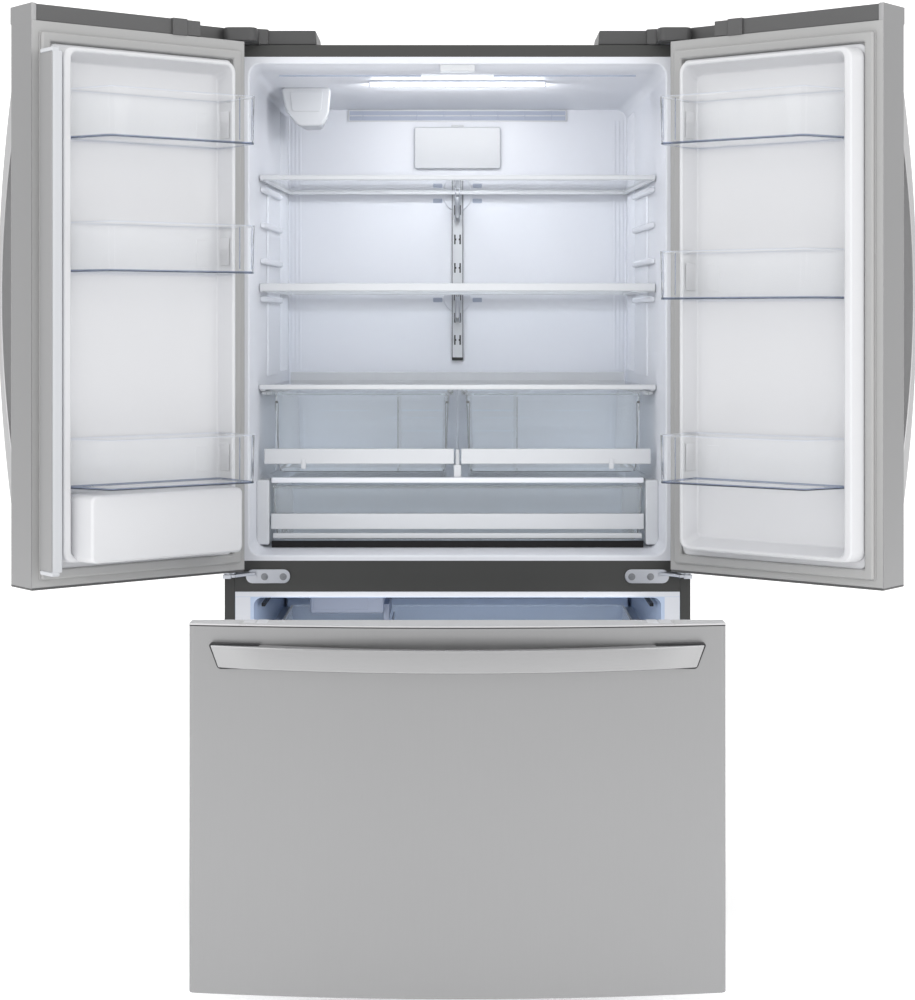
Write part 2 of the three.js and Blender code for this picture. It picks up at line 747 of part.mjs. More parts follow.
// bar that closes the gap between the doors, folded back beside the left door's liner
function mullionFlap(lugs) {
  const body = block(-12, 4.5, -4, 41, 747, 1683);
  const notches = lugs.map((z) => block(-13, 6, -6, 7, z - 18, z + 18));
  const bores = lugs.map((z) => rod('z', 0, 0, z - 26, z + 26, 2.6, 12));
  return cut(body, ...notches, ...bores);
}

const BINS = {
  left: { lower: 898, middle: 1286, upper: 1525 },
  right: { lower: 898, middle: 1238, upper: 1525 },
};
const FLAP_LUGS = [880, 1215, 1550];

for (const [name, side] of SIDES) {
  const door = new THREE.Group();
  door.position.set(side * PIVOT_X, -PIVOT_Y, 0);
  door.rotation.z = side * DOOR_OPEN;
  cabinet.add(door);
  // a door is drawn for the left side, where the free edge lies toward +X
  const place = (geometry) => (side < 0 ? geometry : mirrored(geometry));
  const lugs = side < 0 ? FLAP_LUGS : [];
  piece(door, `${name}_door_skin`, place(doorSkin()), steel());
  piece(door, `${name}_door_core`, place(doorCore(side < 0, lugs)), white());
  piece(door, `${name}_door_gasket`, place(doorGasket()), grey());
  piece(door, `${name}_door_cap`, place(doorCap()), darkPlastic());
  piece(door, `${name}_door_handle`, place(doorHandle()), steel());
  for (const [level, z] of Object.entries(BINS[name])) {
    piece(door, `${name}_${level}_bin`, place(doorBin(z)), clear());
  }
  if (side < 0) {
    const flap = piece(door, 'mullion_flap', mullionFlap(lugs), grey());
    flap.position.set(FLAP_U, INNER + FLAP_W, 0);
  }
}

const drawer = new THREE.Group();
drawer.position.set(0, -DOOR_GAP - DRAWER_OUT, 0);
cabinet.add(drawer);

// the drawer front's section seen from above, with its inner face at zero
function drawerSection(less) {
  const half = HALF - less;
  const points = [new THREE.Vector2(-half, -less)];
  const front = (x) => less - thickness(x);
  points.push(new THREE.Vector2(-half, front(half) + 10));
  points.push(new THREE.Vector2(3 - half, front(half) + 3));
  const steps = 14;
  for (let i = 0; i <= steps; i += 1) {
    const x = (half - 10) * (-1 + (2 * i) / steps);
    points.push(new THREE.Vector2(x, front(x)));
  }
  points.push(new THREE.Vector2(half - 3, front(half) + 3));
  points.push(new THREE.Vector2(half, front(half) + 10));
  points.push(new THREE.Vector2(half, -less));
  return new THREE.Shape(points);
}

function drawerSkin() {
  return cut(
    plate('z', drawerSection(0), DRAWER_BOTTOM, DRAWER_TOP - 2),
    plate('z', drawerSection(1.5), DRAWER_BOTTOM - 5, DRAWER_TOP + 5),
    block(-440, 440, -10, 5, DRAWER_BOTTOM - 5, DRAWER_TOP + 5),
  );
}

// foamed core of the drawer front with its inner liner and top cap
function drawerCore() {
  const fill = plate('z', drawerSection(1.5 + GAP), DRAWER_BOTTOM + GAP, DRAWER_TOP - 2);
  const neck = block(-439.6, 439.6, -6, 0, DRAWER_BOTTOM + GAP, DRAWER_TOP - 2);
  const sheet = plate('y', rounded(-396, 396, 118, 652, 12), -2, 22);
  const cap = plate('z', drawerSection(0.4), DRAWER_TOP - 1.7, DRAWER_TOP);
  const seat = block(-430, 430, -44, -5, DRAWER_TOP - 3, DRAWER_TOP - 1);
  return join(fill, neck, sheet, cap, seat);
}

function drawerGasket() {
  return cut(
    plate('y', rounded(-424, 424, 92, 666, 8), GAP, GASKET),
    plate('y', rounded(-396.3, 396.3, 117.7, 652.3, 12), -5, 20),
  );
}

const DRAWER_HANDLE_Z = 635.75;

function drawerHandle() {
  const half = 416;
  const crown = thickness(0);
  const bar = bowBar(half, 18 - crown + thickness(half), 53, (x) => 0.5 + thickness(x) - crown);
  const z0 = DRAWER_HANDLE_Z - 19.25;
  const z1 = DRAWER_HANDLE_Z + 19.25;
  const body = plate('z', bar, z0, z1);
  // height is measured forward, along -y
  body.applyMatrix4(new THREE.Matrix4().makeScale(1, -1, 1));
  const placed = outward(mergeVertices(body)).translate(0, -crown, 0);
  const face = new THREE.Shape();
  face.moveTo(-half + 14, z0);
  face.lineTo(half - 14, z0);
  face.lineTo(half, z1);
  face.lineTo(-half, z1);
  return common(placed, plate('y', face, -250, 50));
}

function freezerBasket() {
  return tub(frame(-366, 366, 40, 480, 18), 150, 430, 3, 10);
}

// steel rails at both sides that carry the basket, joined behind the front
function drawerRails() {
  const rails = SIDES.map(([, side]) => onSide(side, join(
    block(370, 382, 23, 500, 400, 440),
    block(355, 382, 22.5, 26, 380, 450),
  )));
  const brace = block(-380, 380, 22.5, 26, 130, 146);
  const posts = SIDES.map(([, side]) => onSide(side, block(355, 380, 22.5, 26, 130, 390)));
  const lips = SIDES.map(([, side]) => onSide(side, block(367, 371, 60, 480, 432, 436)));
  return join(brace, ...posts, ...rails, ...lips);
}

piece(drawer, 'drawer_skin', drawerSkin(), steel());
piece(drawer, 'drawer_core', drawerCore(), grey());
piece(drawer, 'drawer_gasket', drawerGasket(), grey());
piece(drawer, 'drawer_handle', drawerHandle(), steel());
piece(drawer, 'freezer_basket', freezerBasket(), white());
piece(drawer, 'drawer_rails', drawerRails(), zinc());

export default group;
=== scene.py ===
"""Looks of a french door refrigerator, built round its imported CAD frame.

Laid out as a Blender add-on and run as a script. Shapes are drawn in millimetres in the cabinet's,
the door's or the drawer's own coordinates and come out in metres in the frame's coordinates.
"""

import json
import math

import bmesh
import bpy
from mathutils import Matrix, Vector


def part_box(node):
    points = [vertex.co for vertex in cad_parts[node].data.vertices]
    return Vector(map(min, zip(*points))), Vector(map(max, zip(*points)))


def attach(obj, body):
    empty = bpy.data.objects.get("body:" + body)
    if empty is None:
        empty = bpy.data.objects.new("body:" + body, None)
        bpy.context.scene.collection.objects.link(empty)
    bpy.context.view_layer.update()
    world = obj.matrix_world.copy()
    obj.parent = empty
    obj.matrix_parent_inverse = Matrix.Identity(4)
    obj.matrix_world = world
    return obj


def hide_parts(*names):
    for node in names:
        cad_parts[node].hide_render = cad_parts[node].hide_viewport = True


bl_info = {
    "name": "French Door Refrigerator",
    "version": (1, 0, 0),
    "blender": (4, 5, 0),
    "location": "3D View > Sidebar > Refrigerator",
    "description": "Builds the cabinet, doors, drawers and studio of a french door refrigerator",
    "category": "Object",
}

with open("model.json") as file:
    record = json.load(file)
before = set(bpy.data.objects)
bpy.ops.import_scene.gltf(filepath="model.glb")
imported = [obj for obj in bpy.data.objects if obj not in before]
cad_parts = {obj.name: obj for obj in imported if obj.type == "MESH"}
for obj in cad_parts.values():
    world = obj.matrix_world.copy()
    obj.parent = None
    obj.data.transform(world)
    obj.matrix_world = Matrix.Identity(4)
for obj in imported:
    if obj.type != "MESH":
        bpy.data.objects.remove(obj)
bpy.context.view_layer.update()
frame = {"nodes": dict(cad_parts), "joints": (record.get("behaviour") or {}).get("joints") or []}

MM = 0.001
SIDES = (("left", -1), ("right", 1))
LEVELS = ("lower", "middle", "upper")
JOINTS = {joint["name"]: joint for joint in frame["joints"]}


def cad_mm(node):
    """Lowest and highest corner of a CAD node in millimetres."""
    low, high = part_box(node)
    return low / MM, high / MM


# ---- sizes in millimetres, the first ones read from the frame and the rest given, y measured back from the cabinet's front ----
FRONT = cad_mm("outer_case")[0].y
HALF = cad_mm("outer_case")[1].x
DEPTH = cad_mm("outer_case")[1].y - FRONT
CASE_TOP = cad_mm("outer_case")[1].z
CASE_BOTTOM = cad_mm("outer_case")[0].z
RAIL_BOTTOM = cad_mm("centre_rail")[0].z
RAIL_TOP = cad_mm("centre_rail")[1].z
PIVOT_X = JOINTS["right_door_swing"]["pos_m"][0] / MM
PIVOT_Y = FRONT - JOINTS["right_door_swing"]["pos_m"][1] / MM
DOOR_ANGLE = math.radians(-JOINTS["right_door_swing"]["range_deg"][0])
DOOR_BOTTOM = cad_mm("left_door_skin")[0].z
DOOR_TOP = cad_mm("left_door_skin")[1].z
CAP_TOP = cad_mm("left_door_cap")[1].z
DRAWER_OUT = -JOINTS["freezer_drawer_slide"]["range_m"][0] / MM
DRAWER_BOTTOM = cad_mm("drawer_skin")[0].z
DRAWER_TOP = cad_mm("drawer_core")[1].z
FLANGE = 20.4
DOOR_GAP = 12.8
DOOR_THICK = 82
DOOR_BOW = 34
INNER = PIVOT_Y - DOOR_GAP
HINGE_EDGE = PIVOT_X - HALF
FREE_EDGE = PIVOT_X - 3
FRESH_BACK = 618
MACHINE_TOP = 290
WRAP = 10

# ---- where drawings are placed ----
CABINET = Matrix.Translation((0, FRONT * MM, 0))
DRAWER = Matrix.Translation((0, (FRONT - DOOR_GAP - DRAWER_OUT) * MM, 0))


def door_place(side):
    """Places a drawing of the left door, free edge toward +X, on the open door of a side."""
    move = Matrix.Translation((side * PIVOT_X * MM, (FRONT - PIVOT_Y) * MM, 0))
    turn = Matrix.Rotation(side * DOOR_ANGLE, 4, "Z")
    flip = Matrix.Scale(-1, 4, (1, 0, 0)) if side > 0 else Matrix.Identity(4)
    return move @ turn @ flip


def cabinet_place(side):
    """Places a drawing made on the right side of the cabinet on either side."""
    return CABINET if side > 0 else CABINET @ Matrix.Scale(-1, 4, (1, 0, 0))


# ---- settings a user would change ----
class RefrigeratorSizes(bpy.types.PropertyGroup):
    """Sizes of details that the frame leaves open."""

    liner_round: bpy.props.FloatProperty(
        name="Liner Round", description="Radius of the edges of the vacuum formed liners",
        default=0.007, min=0.0, unit="LENGTH")
    clear_wall: bpy.props.FloatProperty(
        name="Clear Wall", description="Wall thickness of bins and clear drawers",
        default=0.0024, min=0.0005, unit="LENGTH")
    glass_edge: bpy.props.FloatProperty(
        name="Shelf Glass", description="Thickness of the shelf glass",
        default=0.004, min=0.001, unit="LENGTH")


def colour(label, words, rgb):
    """A colour setting."""
    return bpy.props.FloatVectorProperty(
        name=label, description=words, subtype="COLOR", size=3, min=0.0, max=1.0, default=rgb)


class RefrigeratorColours(bpy.types.PropertyGroup):
    """Base colours of the finishes, linear."""

    stainless: colour("Stainless", "Door and drawer fronts", (0.348, 0.348, 0.352))
    handle: colour("Handle", "Handle bars", (0.41, 0.41, 0.415))
    frame_grey: colour("Frame Grey", "Door frames and gaskets", (0.42, 0.42, 0.418))
    case_paint: colour("Case Paint", "Case and front rail", (0.050, 0.0505, 0.049))
    trim: colour("Trim", "Door caps and hinge covers", (0.100, 0.100, 0.101))
    liner: colour("Liner", "Cabinet liners", (0.74, 0.758, 0.808))
    # painted shade: the freezer liner, white in itself, is set a darker blue for the shade inside
    # the lower compartment
    freezer: colour("Freezer Liner", "Liner of the lower compartment", (0.52, 0.62, 0.80))
    door_liner: colour("Door Liner", "Door liners", (0.71, 0.715, 0.735))
    white_trim: colour("White Trim", "Shelf and drawer trims", (0.58, 0.595, 0.62))
    clear: colour("Clear Plastic", "Door bins", (0.994, 0.997, 1.0))
    tinted: colour("Tinted Plastic", "Clear drawers", (0.96, 0.982, 1.0))
    zinc: colour("Zinc", "Hinges and rails", (0.60, 0.62, 0.67))


class StudioSettings(bpy.types.PropertyGroup):
    """Light and floor of the stage."""

    key_power: bpy.props.FloatProperty(
        name="Soft Light", description="Power of each large soft light",
        default=26.0, min=0.0, unit="POWER")
    fill_power: bpy.props.FloatProperty(
        name="Cabinet Fill", description="Power of the soft light let into the cabinet",
        default=0.82, min=0.0, unit="POWER")
    lamp_power: bpy.props.FloatProperty(
        name="Cabinet Lamp", description="Strength of the lit lamp lens", default=5.0, min=0.0)
    world: bpy.props.FloatProperty(
        name="Surround", description="Strength of the surrounding white", default=0.95, min=0.0)
    floor: colour("Floor", "Colour of the floor", (0.94, 0.94, 0.94))


# ---- drawing with bmesh ----
AXIS = {"x": Vector((1, 0, 0)), "y": Vector((0, 1, 0)), "z": Vector((0, 0, 1))}


def spot(axis, a, b, level):
    """A point from its two coordinates across an axis and its level along it."""
    values = {"x": (level, a, b), "y": (a, level, b), "z": (a, b, level)}
    return Vector(values[axis])


def moved_verts(result):
    return [item for item in result["geom"] if isinstance(item, bmesh.types.BMVert)]


def recalculated(bm):
    """Turns every face outward."""
    bmesh.ops.recalc_face_normals(bm, faces=bm.faces[:])
    if bm.calc_volume(signed=True) < 0:
        bmesh.ops.reverse_faces(bm, faces=bm.faces[:])
    return bm


def sharp_edges(bm, angle=30):
    limit = math.radians(angle)
    return [e for e in bm.edges if len(e.link_faces) == 2 and e.calc_face_angle(0) > limit]


def rounded(bm, radius, segments=2, angle=30):
    """Rounds every edge sharper than an angle."""
    if radius > 0:
        bmesh.ops.bevel(
            bm, geom=sharp_edges(bm, angle), offset=radius, segments=segments, profile=0.5,
            affect="EDGES", material=-1, clamp_overlap=True)
    return bm


def prism(points, axis, start, end, corner=0, corner_segments=5):
    """A flat outline with rounded corners, drawn out along an axis."""
    bm = bmesh.new()
    bm.faces.new([bm.verts.new(spot(axis, a, b, start)) for a, b in points])
    if corner:
        bmesh.ops.bevel(
            bm, geom=bm.verts[:], offset=corner, segments=corner_segments, profile=0.5,
            affect="VERTICES", material=-1, clamp_overlap=True)
    drawn = bmesh.ops.extrude_face_region(bm, geom=bm.faces[:])
    bmesh.ops.translate(bm, vec=AXIS[axis] * (end - start), verts=moved_verts(drawn))
    return recalculated(bm)


def rectangle(a0, a1, b0, b1):
    return [(a0, b0), (a1, b0), (a1, b1), (a0, b1)]


def block(x0, x1, y0, y1, z0, z1, edge=0.0, segments=2):
    """A block between two corners, with its edges rounded."""
    bm = bmesh.new()
    bmesh.ops.create_cube(bm, size=1)
    bmesh.ops.scale(bm, vec=(x1 - x0, y1 - y0, z1 - z0), verts=bm.verts[:])
    bmesh.ops.translate(bm, vec=((x0 + x1) / 2, (y0 + y1) / 2, (z0 + z1) / 2), verts=bm.verts[:])
    return rounded(bm, edge, segments)


def bar(axis, a, b, start, end, radius, sides=24, edge=0.0):
    """A round bar along an axis."""
    bm = bmesh.new()
    bmesh.ops.create_cone(
        bm, cap_ends=True, segments=sides, radius1=radius, radius2=radius, depth=end - start)
    turns = {"x": Matrix.Rotation(math.pi / 2, 4, "Y"), "y": Matrix.Rotation(math.pi / 2, 4, "X")}
    bmesh.ops.transform(bm, matrix=turns.get(axis, Matrix.Identity(4)), verts=bm.verts[:])
    bmesh.ops.translate(bm, vec=spot(axis, a, b, (start + end) / 2), verts=bm.verts[:])
    return rounded(bm, edge, 2, 50)


def joined(*shapes):
    """Several drawings as one."""
    whole = bmesh.new()
    for shape in shapes:
        mesh = bpy.data.meshes.new("part")
        shape.to_mesh(mesh)
        shape.free()
        whole.from_mesh(mesh)
        bpy.data.meshes.remove(mesh)
    return whole


def placed(bm, matrix):
    bmesh.ops.transform(bm, matrix=matrix, verts=bm.verts[:])
    if matrix.determinant() < 0:
        bmesh.ops.reverse_faces(bm, faces=bm.faces[:])
    return bm


def both_sides(draw):
    """A drawing made on the right side, with its mirror image."""
    flip = Matrix.Scale(-1, 4, (1, 0, 0))
    return joined(draw(), placed(draw(), flip))


def face_toward(bm, direction):
    """The largest face that looks in a direction."""
    direction = Vector(direction)
    facing = [f for f in bm.faces if f.normal.dot(direction) > 0.95]
    return max(facing, key=lambda f: f.calc_area())


def drawn_face(bm, face):
    """Draws one face of a shell out and returns the face at its far end."""
    drawn = bmesh.ops.extrude_face_region(bm, geom=[face])
    far = next(item for item in drawn["geom"] if isinstance(item, bmesh.types.BMFace))
    if face.is_valid:
        bmesh.ops.delete(bm, geom=[face], context="FACES_ONLY")
    return far


def hollowed(bm, wall, direction, depth, draft=0.0):
    """Sinks the face that looks in a direction into the drawing, and leaves a wall round it."""
    bm.normal_update()
    face = face_toward(bm, direction)
    bmesh.ops.inset_region(bm, faces=[face], thickness=wall, use_even_offset=True)
    verts = drawn_face(bm, face).verts[:]
    bmesh.ops.translate(bm, vec=Vector(direction) * -depth, verts=verts)
    if draft:
        centre = sum((v.co for v in verts), Vector()) / len(verts)
        shrink = Matrix.Diagonal(Vector([1.0 if abs(c) > 0.5 else 1 - draft for c in direction]))
        for v in verts:
            v.co = centre + shrink @ (v.co - centre)
    return recalculated(bm)


def ring(points, axis, start, end, width, corner=0):
    """A flat frame of one width, drawn out along an axis."""
    bm = bmesh.new()
    bm.faces.new([bm.verts.new(spot(axis, a, b, start)) for a, b in points])
    if corner:
        bmesh.ops.bevel(
            bm, geom=bm.verts[:], offset=corner, segments=5, profile=0.5,
            affect="VERTICES", material=-1)
    bm.normal_update()
    middle = bm.faces[:][0]
    bmesh.ops.inset_region(bm, faces=[middle], thickness=width, use_even_offset=True,
                           use_boundary=True)
    bmesh.ops.delete(bm, geom=[middle], context="FACES")
    drawn = bmesh.ops.extrude_face_region(bm, geom=bm.faces[:])
    bmesh.ops.translate(bm, vec=AXIS[axis] * (end - start), verts=moved_verts(drawn))
    return recalculated(bm)


def finished(name, bm, place, body, material, replaces=(), smooth_angle=38):
    """Turns a drawing in millimetres into a piece with a named finish, riding on a body."""
    placed(bm, place @ Matrix.Scale(MM, 4))
    bm.normal_update()
    limit = math.radians(smooth_angle)
    for face in bm.faces:
        face.smooth = True
    for edge in bm.edges:
        edge.smooth = len(edge.link_faces) != 2 or edge.calc_face_angle(0) < limit
    mesh = bpy.data.meshes.new(name)
    bm.to_mesh(mesh)
    bm.free()
    piece = bpy.data.objects.new(name, mesh)
    bpy.context.scene.collection.objects.link(piece)
    mesh.materials.append(finish(material))
    weighted = piece.modifiers.new("Even Shading", "WEIGHTED_NORMAL")
    weighted.keep_sharp = True
    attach(piece, body)
    if replaces:
        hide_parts(*replaces)
    return piece


def fixed(name, bm, material, replaces=()):
    """A piece of the cabinet, drawn in the cabinet's coordinates."""
    return finished(name, bm, CABINET, "cabinet", material, replaces)


# ---- shared shader effects ----
def new_group(name, inputs, outputs):
    """An empty node group with named sockets, and the nodes at its two ends."""
    group = bpy.data.node_groups.new(name, "ShaderNodeTree")
    for label, kind, value in inputs:
        socket = group.interface.new_socket(label, in_out="INPUT", socket_type=kind)
        if value is not None:
            socket.default_value = value
    for label, kind in outputs:
        group.interface.new_socket(label, in_out="OUTPUT", socket_type=kind)
    return group, group.nodes.new("NodeGroupInput"), group.nodes.new("NodeGroupOutput")


def noise(group, vector, scale, detail, roughness=0.5):
    node = group.nodes.new("ShaderNodeTexNoise")
    node.inputs["Detail"].default_value = detail
    node.inputs["Roughness"].default_value = roughness
    if isinstance(scale, bpy.types.NodeSocket):
        group.links.new(scale, node.inputs["Scale"])
    else:
        node.inputs["Scale"].default_value = scale
    group.links.new(vector, node.inputs["Vector"])
    return node.outputs["Fac"]


def arithmetic(group, operation, a, b, clamp=False):
    node = group.nodes.new("ShaderNodeMath")
    node.operation = operation
    node.use_clamp = clamp
    for index, value in enumerate((a, b)):
        if isinstance(value, bpy.types.NodeSocket):
            group.links.new(value, node.inputs[index])
        else:
            node.inputs[index].default_value = value
    return node.outputs[0]


def around(group, value, middle, amount):
    """middle plus amount times how far a 0 to 1 value lies from its middle."""
    offset = arithmetic(group, "SUBTRACT", value, 0.5)
    return arithmetic(group, "ADD", middle, arithmetic(group, "MULTIPLY", offset, amount))


def tinted(group, colour, factor):
    """A colour made lighter or darker by a factor."""
    node = group.nodes.new("ShaderNodeVectorMath")
    node.operation = "SCALE"
    group.links.new(colour, node.inputs[0])
    group.links.new(factor, node.inputs["Scale"])
    return node.outputs[0]


def brushed_grain():
    """Long fine scratches with a soft large variation, as on brushed sheet steel."""
    found = bpy.data.node_groups.get("Brushed Grain")
    if found:
        return found
    group, start, end = new_group(
        "Brushed Grain",
        [("Colour", "NodeSocketColor", None), ("Stretch", "NodeSocketVector", (1.0, 1.0, 1.0)),
         ("Contrast", "NodeSocketFloat", 0.1), ("Roughness", "NodeSocketFloat", 0.3),
         ("Spread", "NodeSocketFloat", 0.1)],
        [("Colour", "NodeSocketColor"), ("Roughness", "NodeSocketFloat"),
         ("Height", "NodeSocketFloat")])
    place = group.nodes.new("ShaderNodeTexCoord").outputs["Object"]
    stretch = group.nodes.new("ShaderNodeVectorMath")
    stretch.operation = "MULTIPLY"
    group.links.new(place, stretch.inputs[0])
    group.links.new(start.outputs["Stretch"], stretch.inputs[1])
    lines = noise(group, stretch.outputs[0], 1.0, 3.0, 0.65)
    cloud = noise(group, place, 2.2, 2.0)
    mixed = arithmetic(group, "ADD", arithmetic(group, "MULTIPLY", lines, 0.7),
                       arithmetic(group, "MULTIPLY", cloud, 0.3))
    factor = around(group, mixed, 1.0, start.outputs["Contrast"])
    group.links.new(tinted(group, start.outputs["Colour"], factor), end.inputs["Colour"])
    rough = around(group, lines, start.outputs["Roughness"], start.outputs["Spread"])
    group.links.new(rough, end.inputs["Roughness"])
    group.links.new(lines, end.inputs["Height"])
    return group


def moulded_grain():
    """Fine stipple and a faint cloudiness, as on moulded plastic and paint."""
    found = bpy.data.node_groups.get("Moulded Grain")
    if found:
        return found
    group, start, end = new_group(
        "Moulded Grain",
        [("Colour", "NodeSocketColor", None), ("Size", "NodeSocketFloat", 900.0),
         ("Contrast", "NodeSocketFloat", 0.05), ("Roughness", "NodeSocketFloat", 0.4),
         ("Spread", "NodeSocketFloat", 0.1)],
        [("Colour", "NodeSocketColor"), ("Roughness", "NodeSocketFloat"),
         ("Height", "NodeSocketFloat")])
    place = group.nodes.new("ShaderNodeTexCoord").outputs["Object"]
    stipple = noise(group, place, start.outputs["Size"], 2.0)
    cloud = noise(group, place, 5.0, 3.0)
    factor = around(group, cloud, 1.0, start.outputs["Contrast"])
    group.links.new(tinted(group, start.outputs["Colour"], factor), end.inputs["Colour"])
    rough = around(group, cloud, start.outputs["Roughness"], start.outputs["Spread"])
    group.links.new(rough, end.inputs["Roughness"])
    group.links.new(stipple, end.inputs["Height"])
    return group


def grained(name, effect, colour, bump, **settings):
    """A material whose colour, roughness and bump come from a shared effect."""
    found = bpy.data.materials.get(name)
    if found:
        return found
    material = bpy.data.materials.new(name)
    material.use_nodes = True
    nodes, links = material.node_tree.nodes, material.node_tree.links
    shader = nodes["Principled BSDF"]
    grain = nodes.new("ShaderNodeGroup")
    grain.node_tree = effect
    grain.inputs["Colour"].default_value = (*colour, 1)
    for label, value in settings.items():
        socket = label.replace("_", " ").title()
        if socket in grain.inputs:
            grain.inputs[socket].default_value = value
        else:
            shader.inputs[socket].default_value = value
    links.new(grain.outputs["Colour"], shader.inputs["Base Color"])
    links.new(grain.outputs["Roughness"], shader.inputs["Roughness"])
    relief = nodes.new("ShaderNodeBump")
    relief.inputs["Strength"].default_value = bump
    relief.inputs["Distance"].default_value = 0.0004
    links.new(grain.outputs["Height"], relief.inputs["Height"])
    links.new(relief.outputs["Normal"], shader.inputs["Normal"])
    return material


def see_through(name, colour, rough, index, smear, glow=0.0):
    """Clear plastic or glass with faint smears, which lets the lamps' light through. Its glow is
    painted light that brightens the plastic.
    """
    found = bpy.data.materials.get(name)
    if found:
        return found
    material = bpy.data.materials.new(name)
    material.use_nodes = True
    nodes, links = material.node_tree.nodes, material.node_tree.links
    shader = nodes["Principled BSDF"]
    shader.inputs["Transmission Weight"].default_value = 1.0
    shader.inputs["IOR"].default_value = index
    shader.inputs["Emission Color"].default_value = (*colour, 1)
    # painted glow: the plastic gives off a faint light of its own, though it is no lamp
    shader.inputs["Emission Strength"].default_value = glow
    grain = nodes.new("ShaderNodeGroup")
    grain.node_tree = moulded_grain()
    grain.inputs["Colour"].default_value = (*colour, 1)
    grain.inputs["Size"].default_value = 60
    grain.inputs["Contrast"].default_value = 0.02
    grain.inputs["Roughness"].default_value = rough
    grain.inputs["Spread"].default_value = smear
    links.new(grain.outputs["Colour"], shader.inputs["Base Color"])
    links.new(grain.outputs["Roughness"], shader.inputs["Roughness"])
    lamp_ray = nodes.new("ShaderNodeLightPath")
    passing = nodes.new("ShaderNodeBsdfTransparent")
    passing.inputs["Color"].default_value = (*colour, 1)
    mixed = nodes.new("ShaderNodeMixShader")
    links.new(lamp_ray.outputs["Is Shadow Ray"], mixed.inputs[0])
    links.new(shader.outputs[0], mixed.inputs[1])
    links.new(passing.outputs[0], mixed.inputs[2])
    links.new(mixed.outputs[0], nodes["Material Output"].inputs["Surface"])
    return material


def glowing(material, colour, strength):
    """Adds an even glow to a material."""
    shader = material.node_tree.nodes["Principled BSDF"]
    shader.inputs["Emission Color"].default_value = (*colour, 1)
    shader.inputs["Emission Strength"].default_value = strength
    return material


def one_sided(material):
    """Lets the back of a surface be seen through, so that it hides nothing from behind."""
    nodes, links = material.node_tree.nodes, material.node_tree.links
    side = nodes.new("ShaderNodeNewGeometry")
    passing = nodes.new("ShaderNodeBsdfTransparent")
    mixed = nodes.new("ShaderNodeMixShader")
    links.new(side.outputs["Backfacing"], mixed.inputs[0])
    links.new(nodes["Principled BSDF"].outputs[0], mixed.inputs[1])
    links.new(passing.outputs[0], mixed.inputs[2])
    links.new(mixed.outputs[0], nodes["Material Output"].inputs["Surface"])
    return material


PLAIN = {"contrast": 0.04, "roughness": 0.5, "spread": 0.1}
POLISHED = {"size": 220, "contrast": 0.02, "roughness": 0.34, "spread": 0.08}

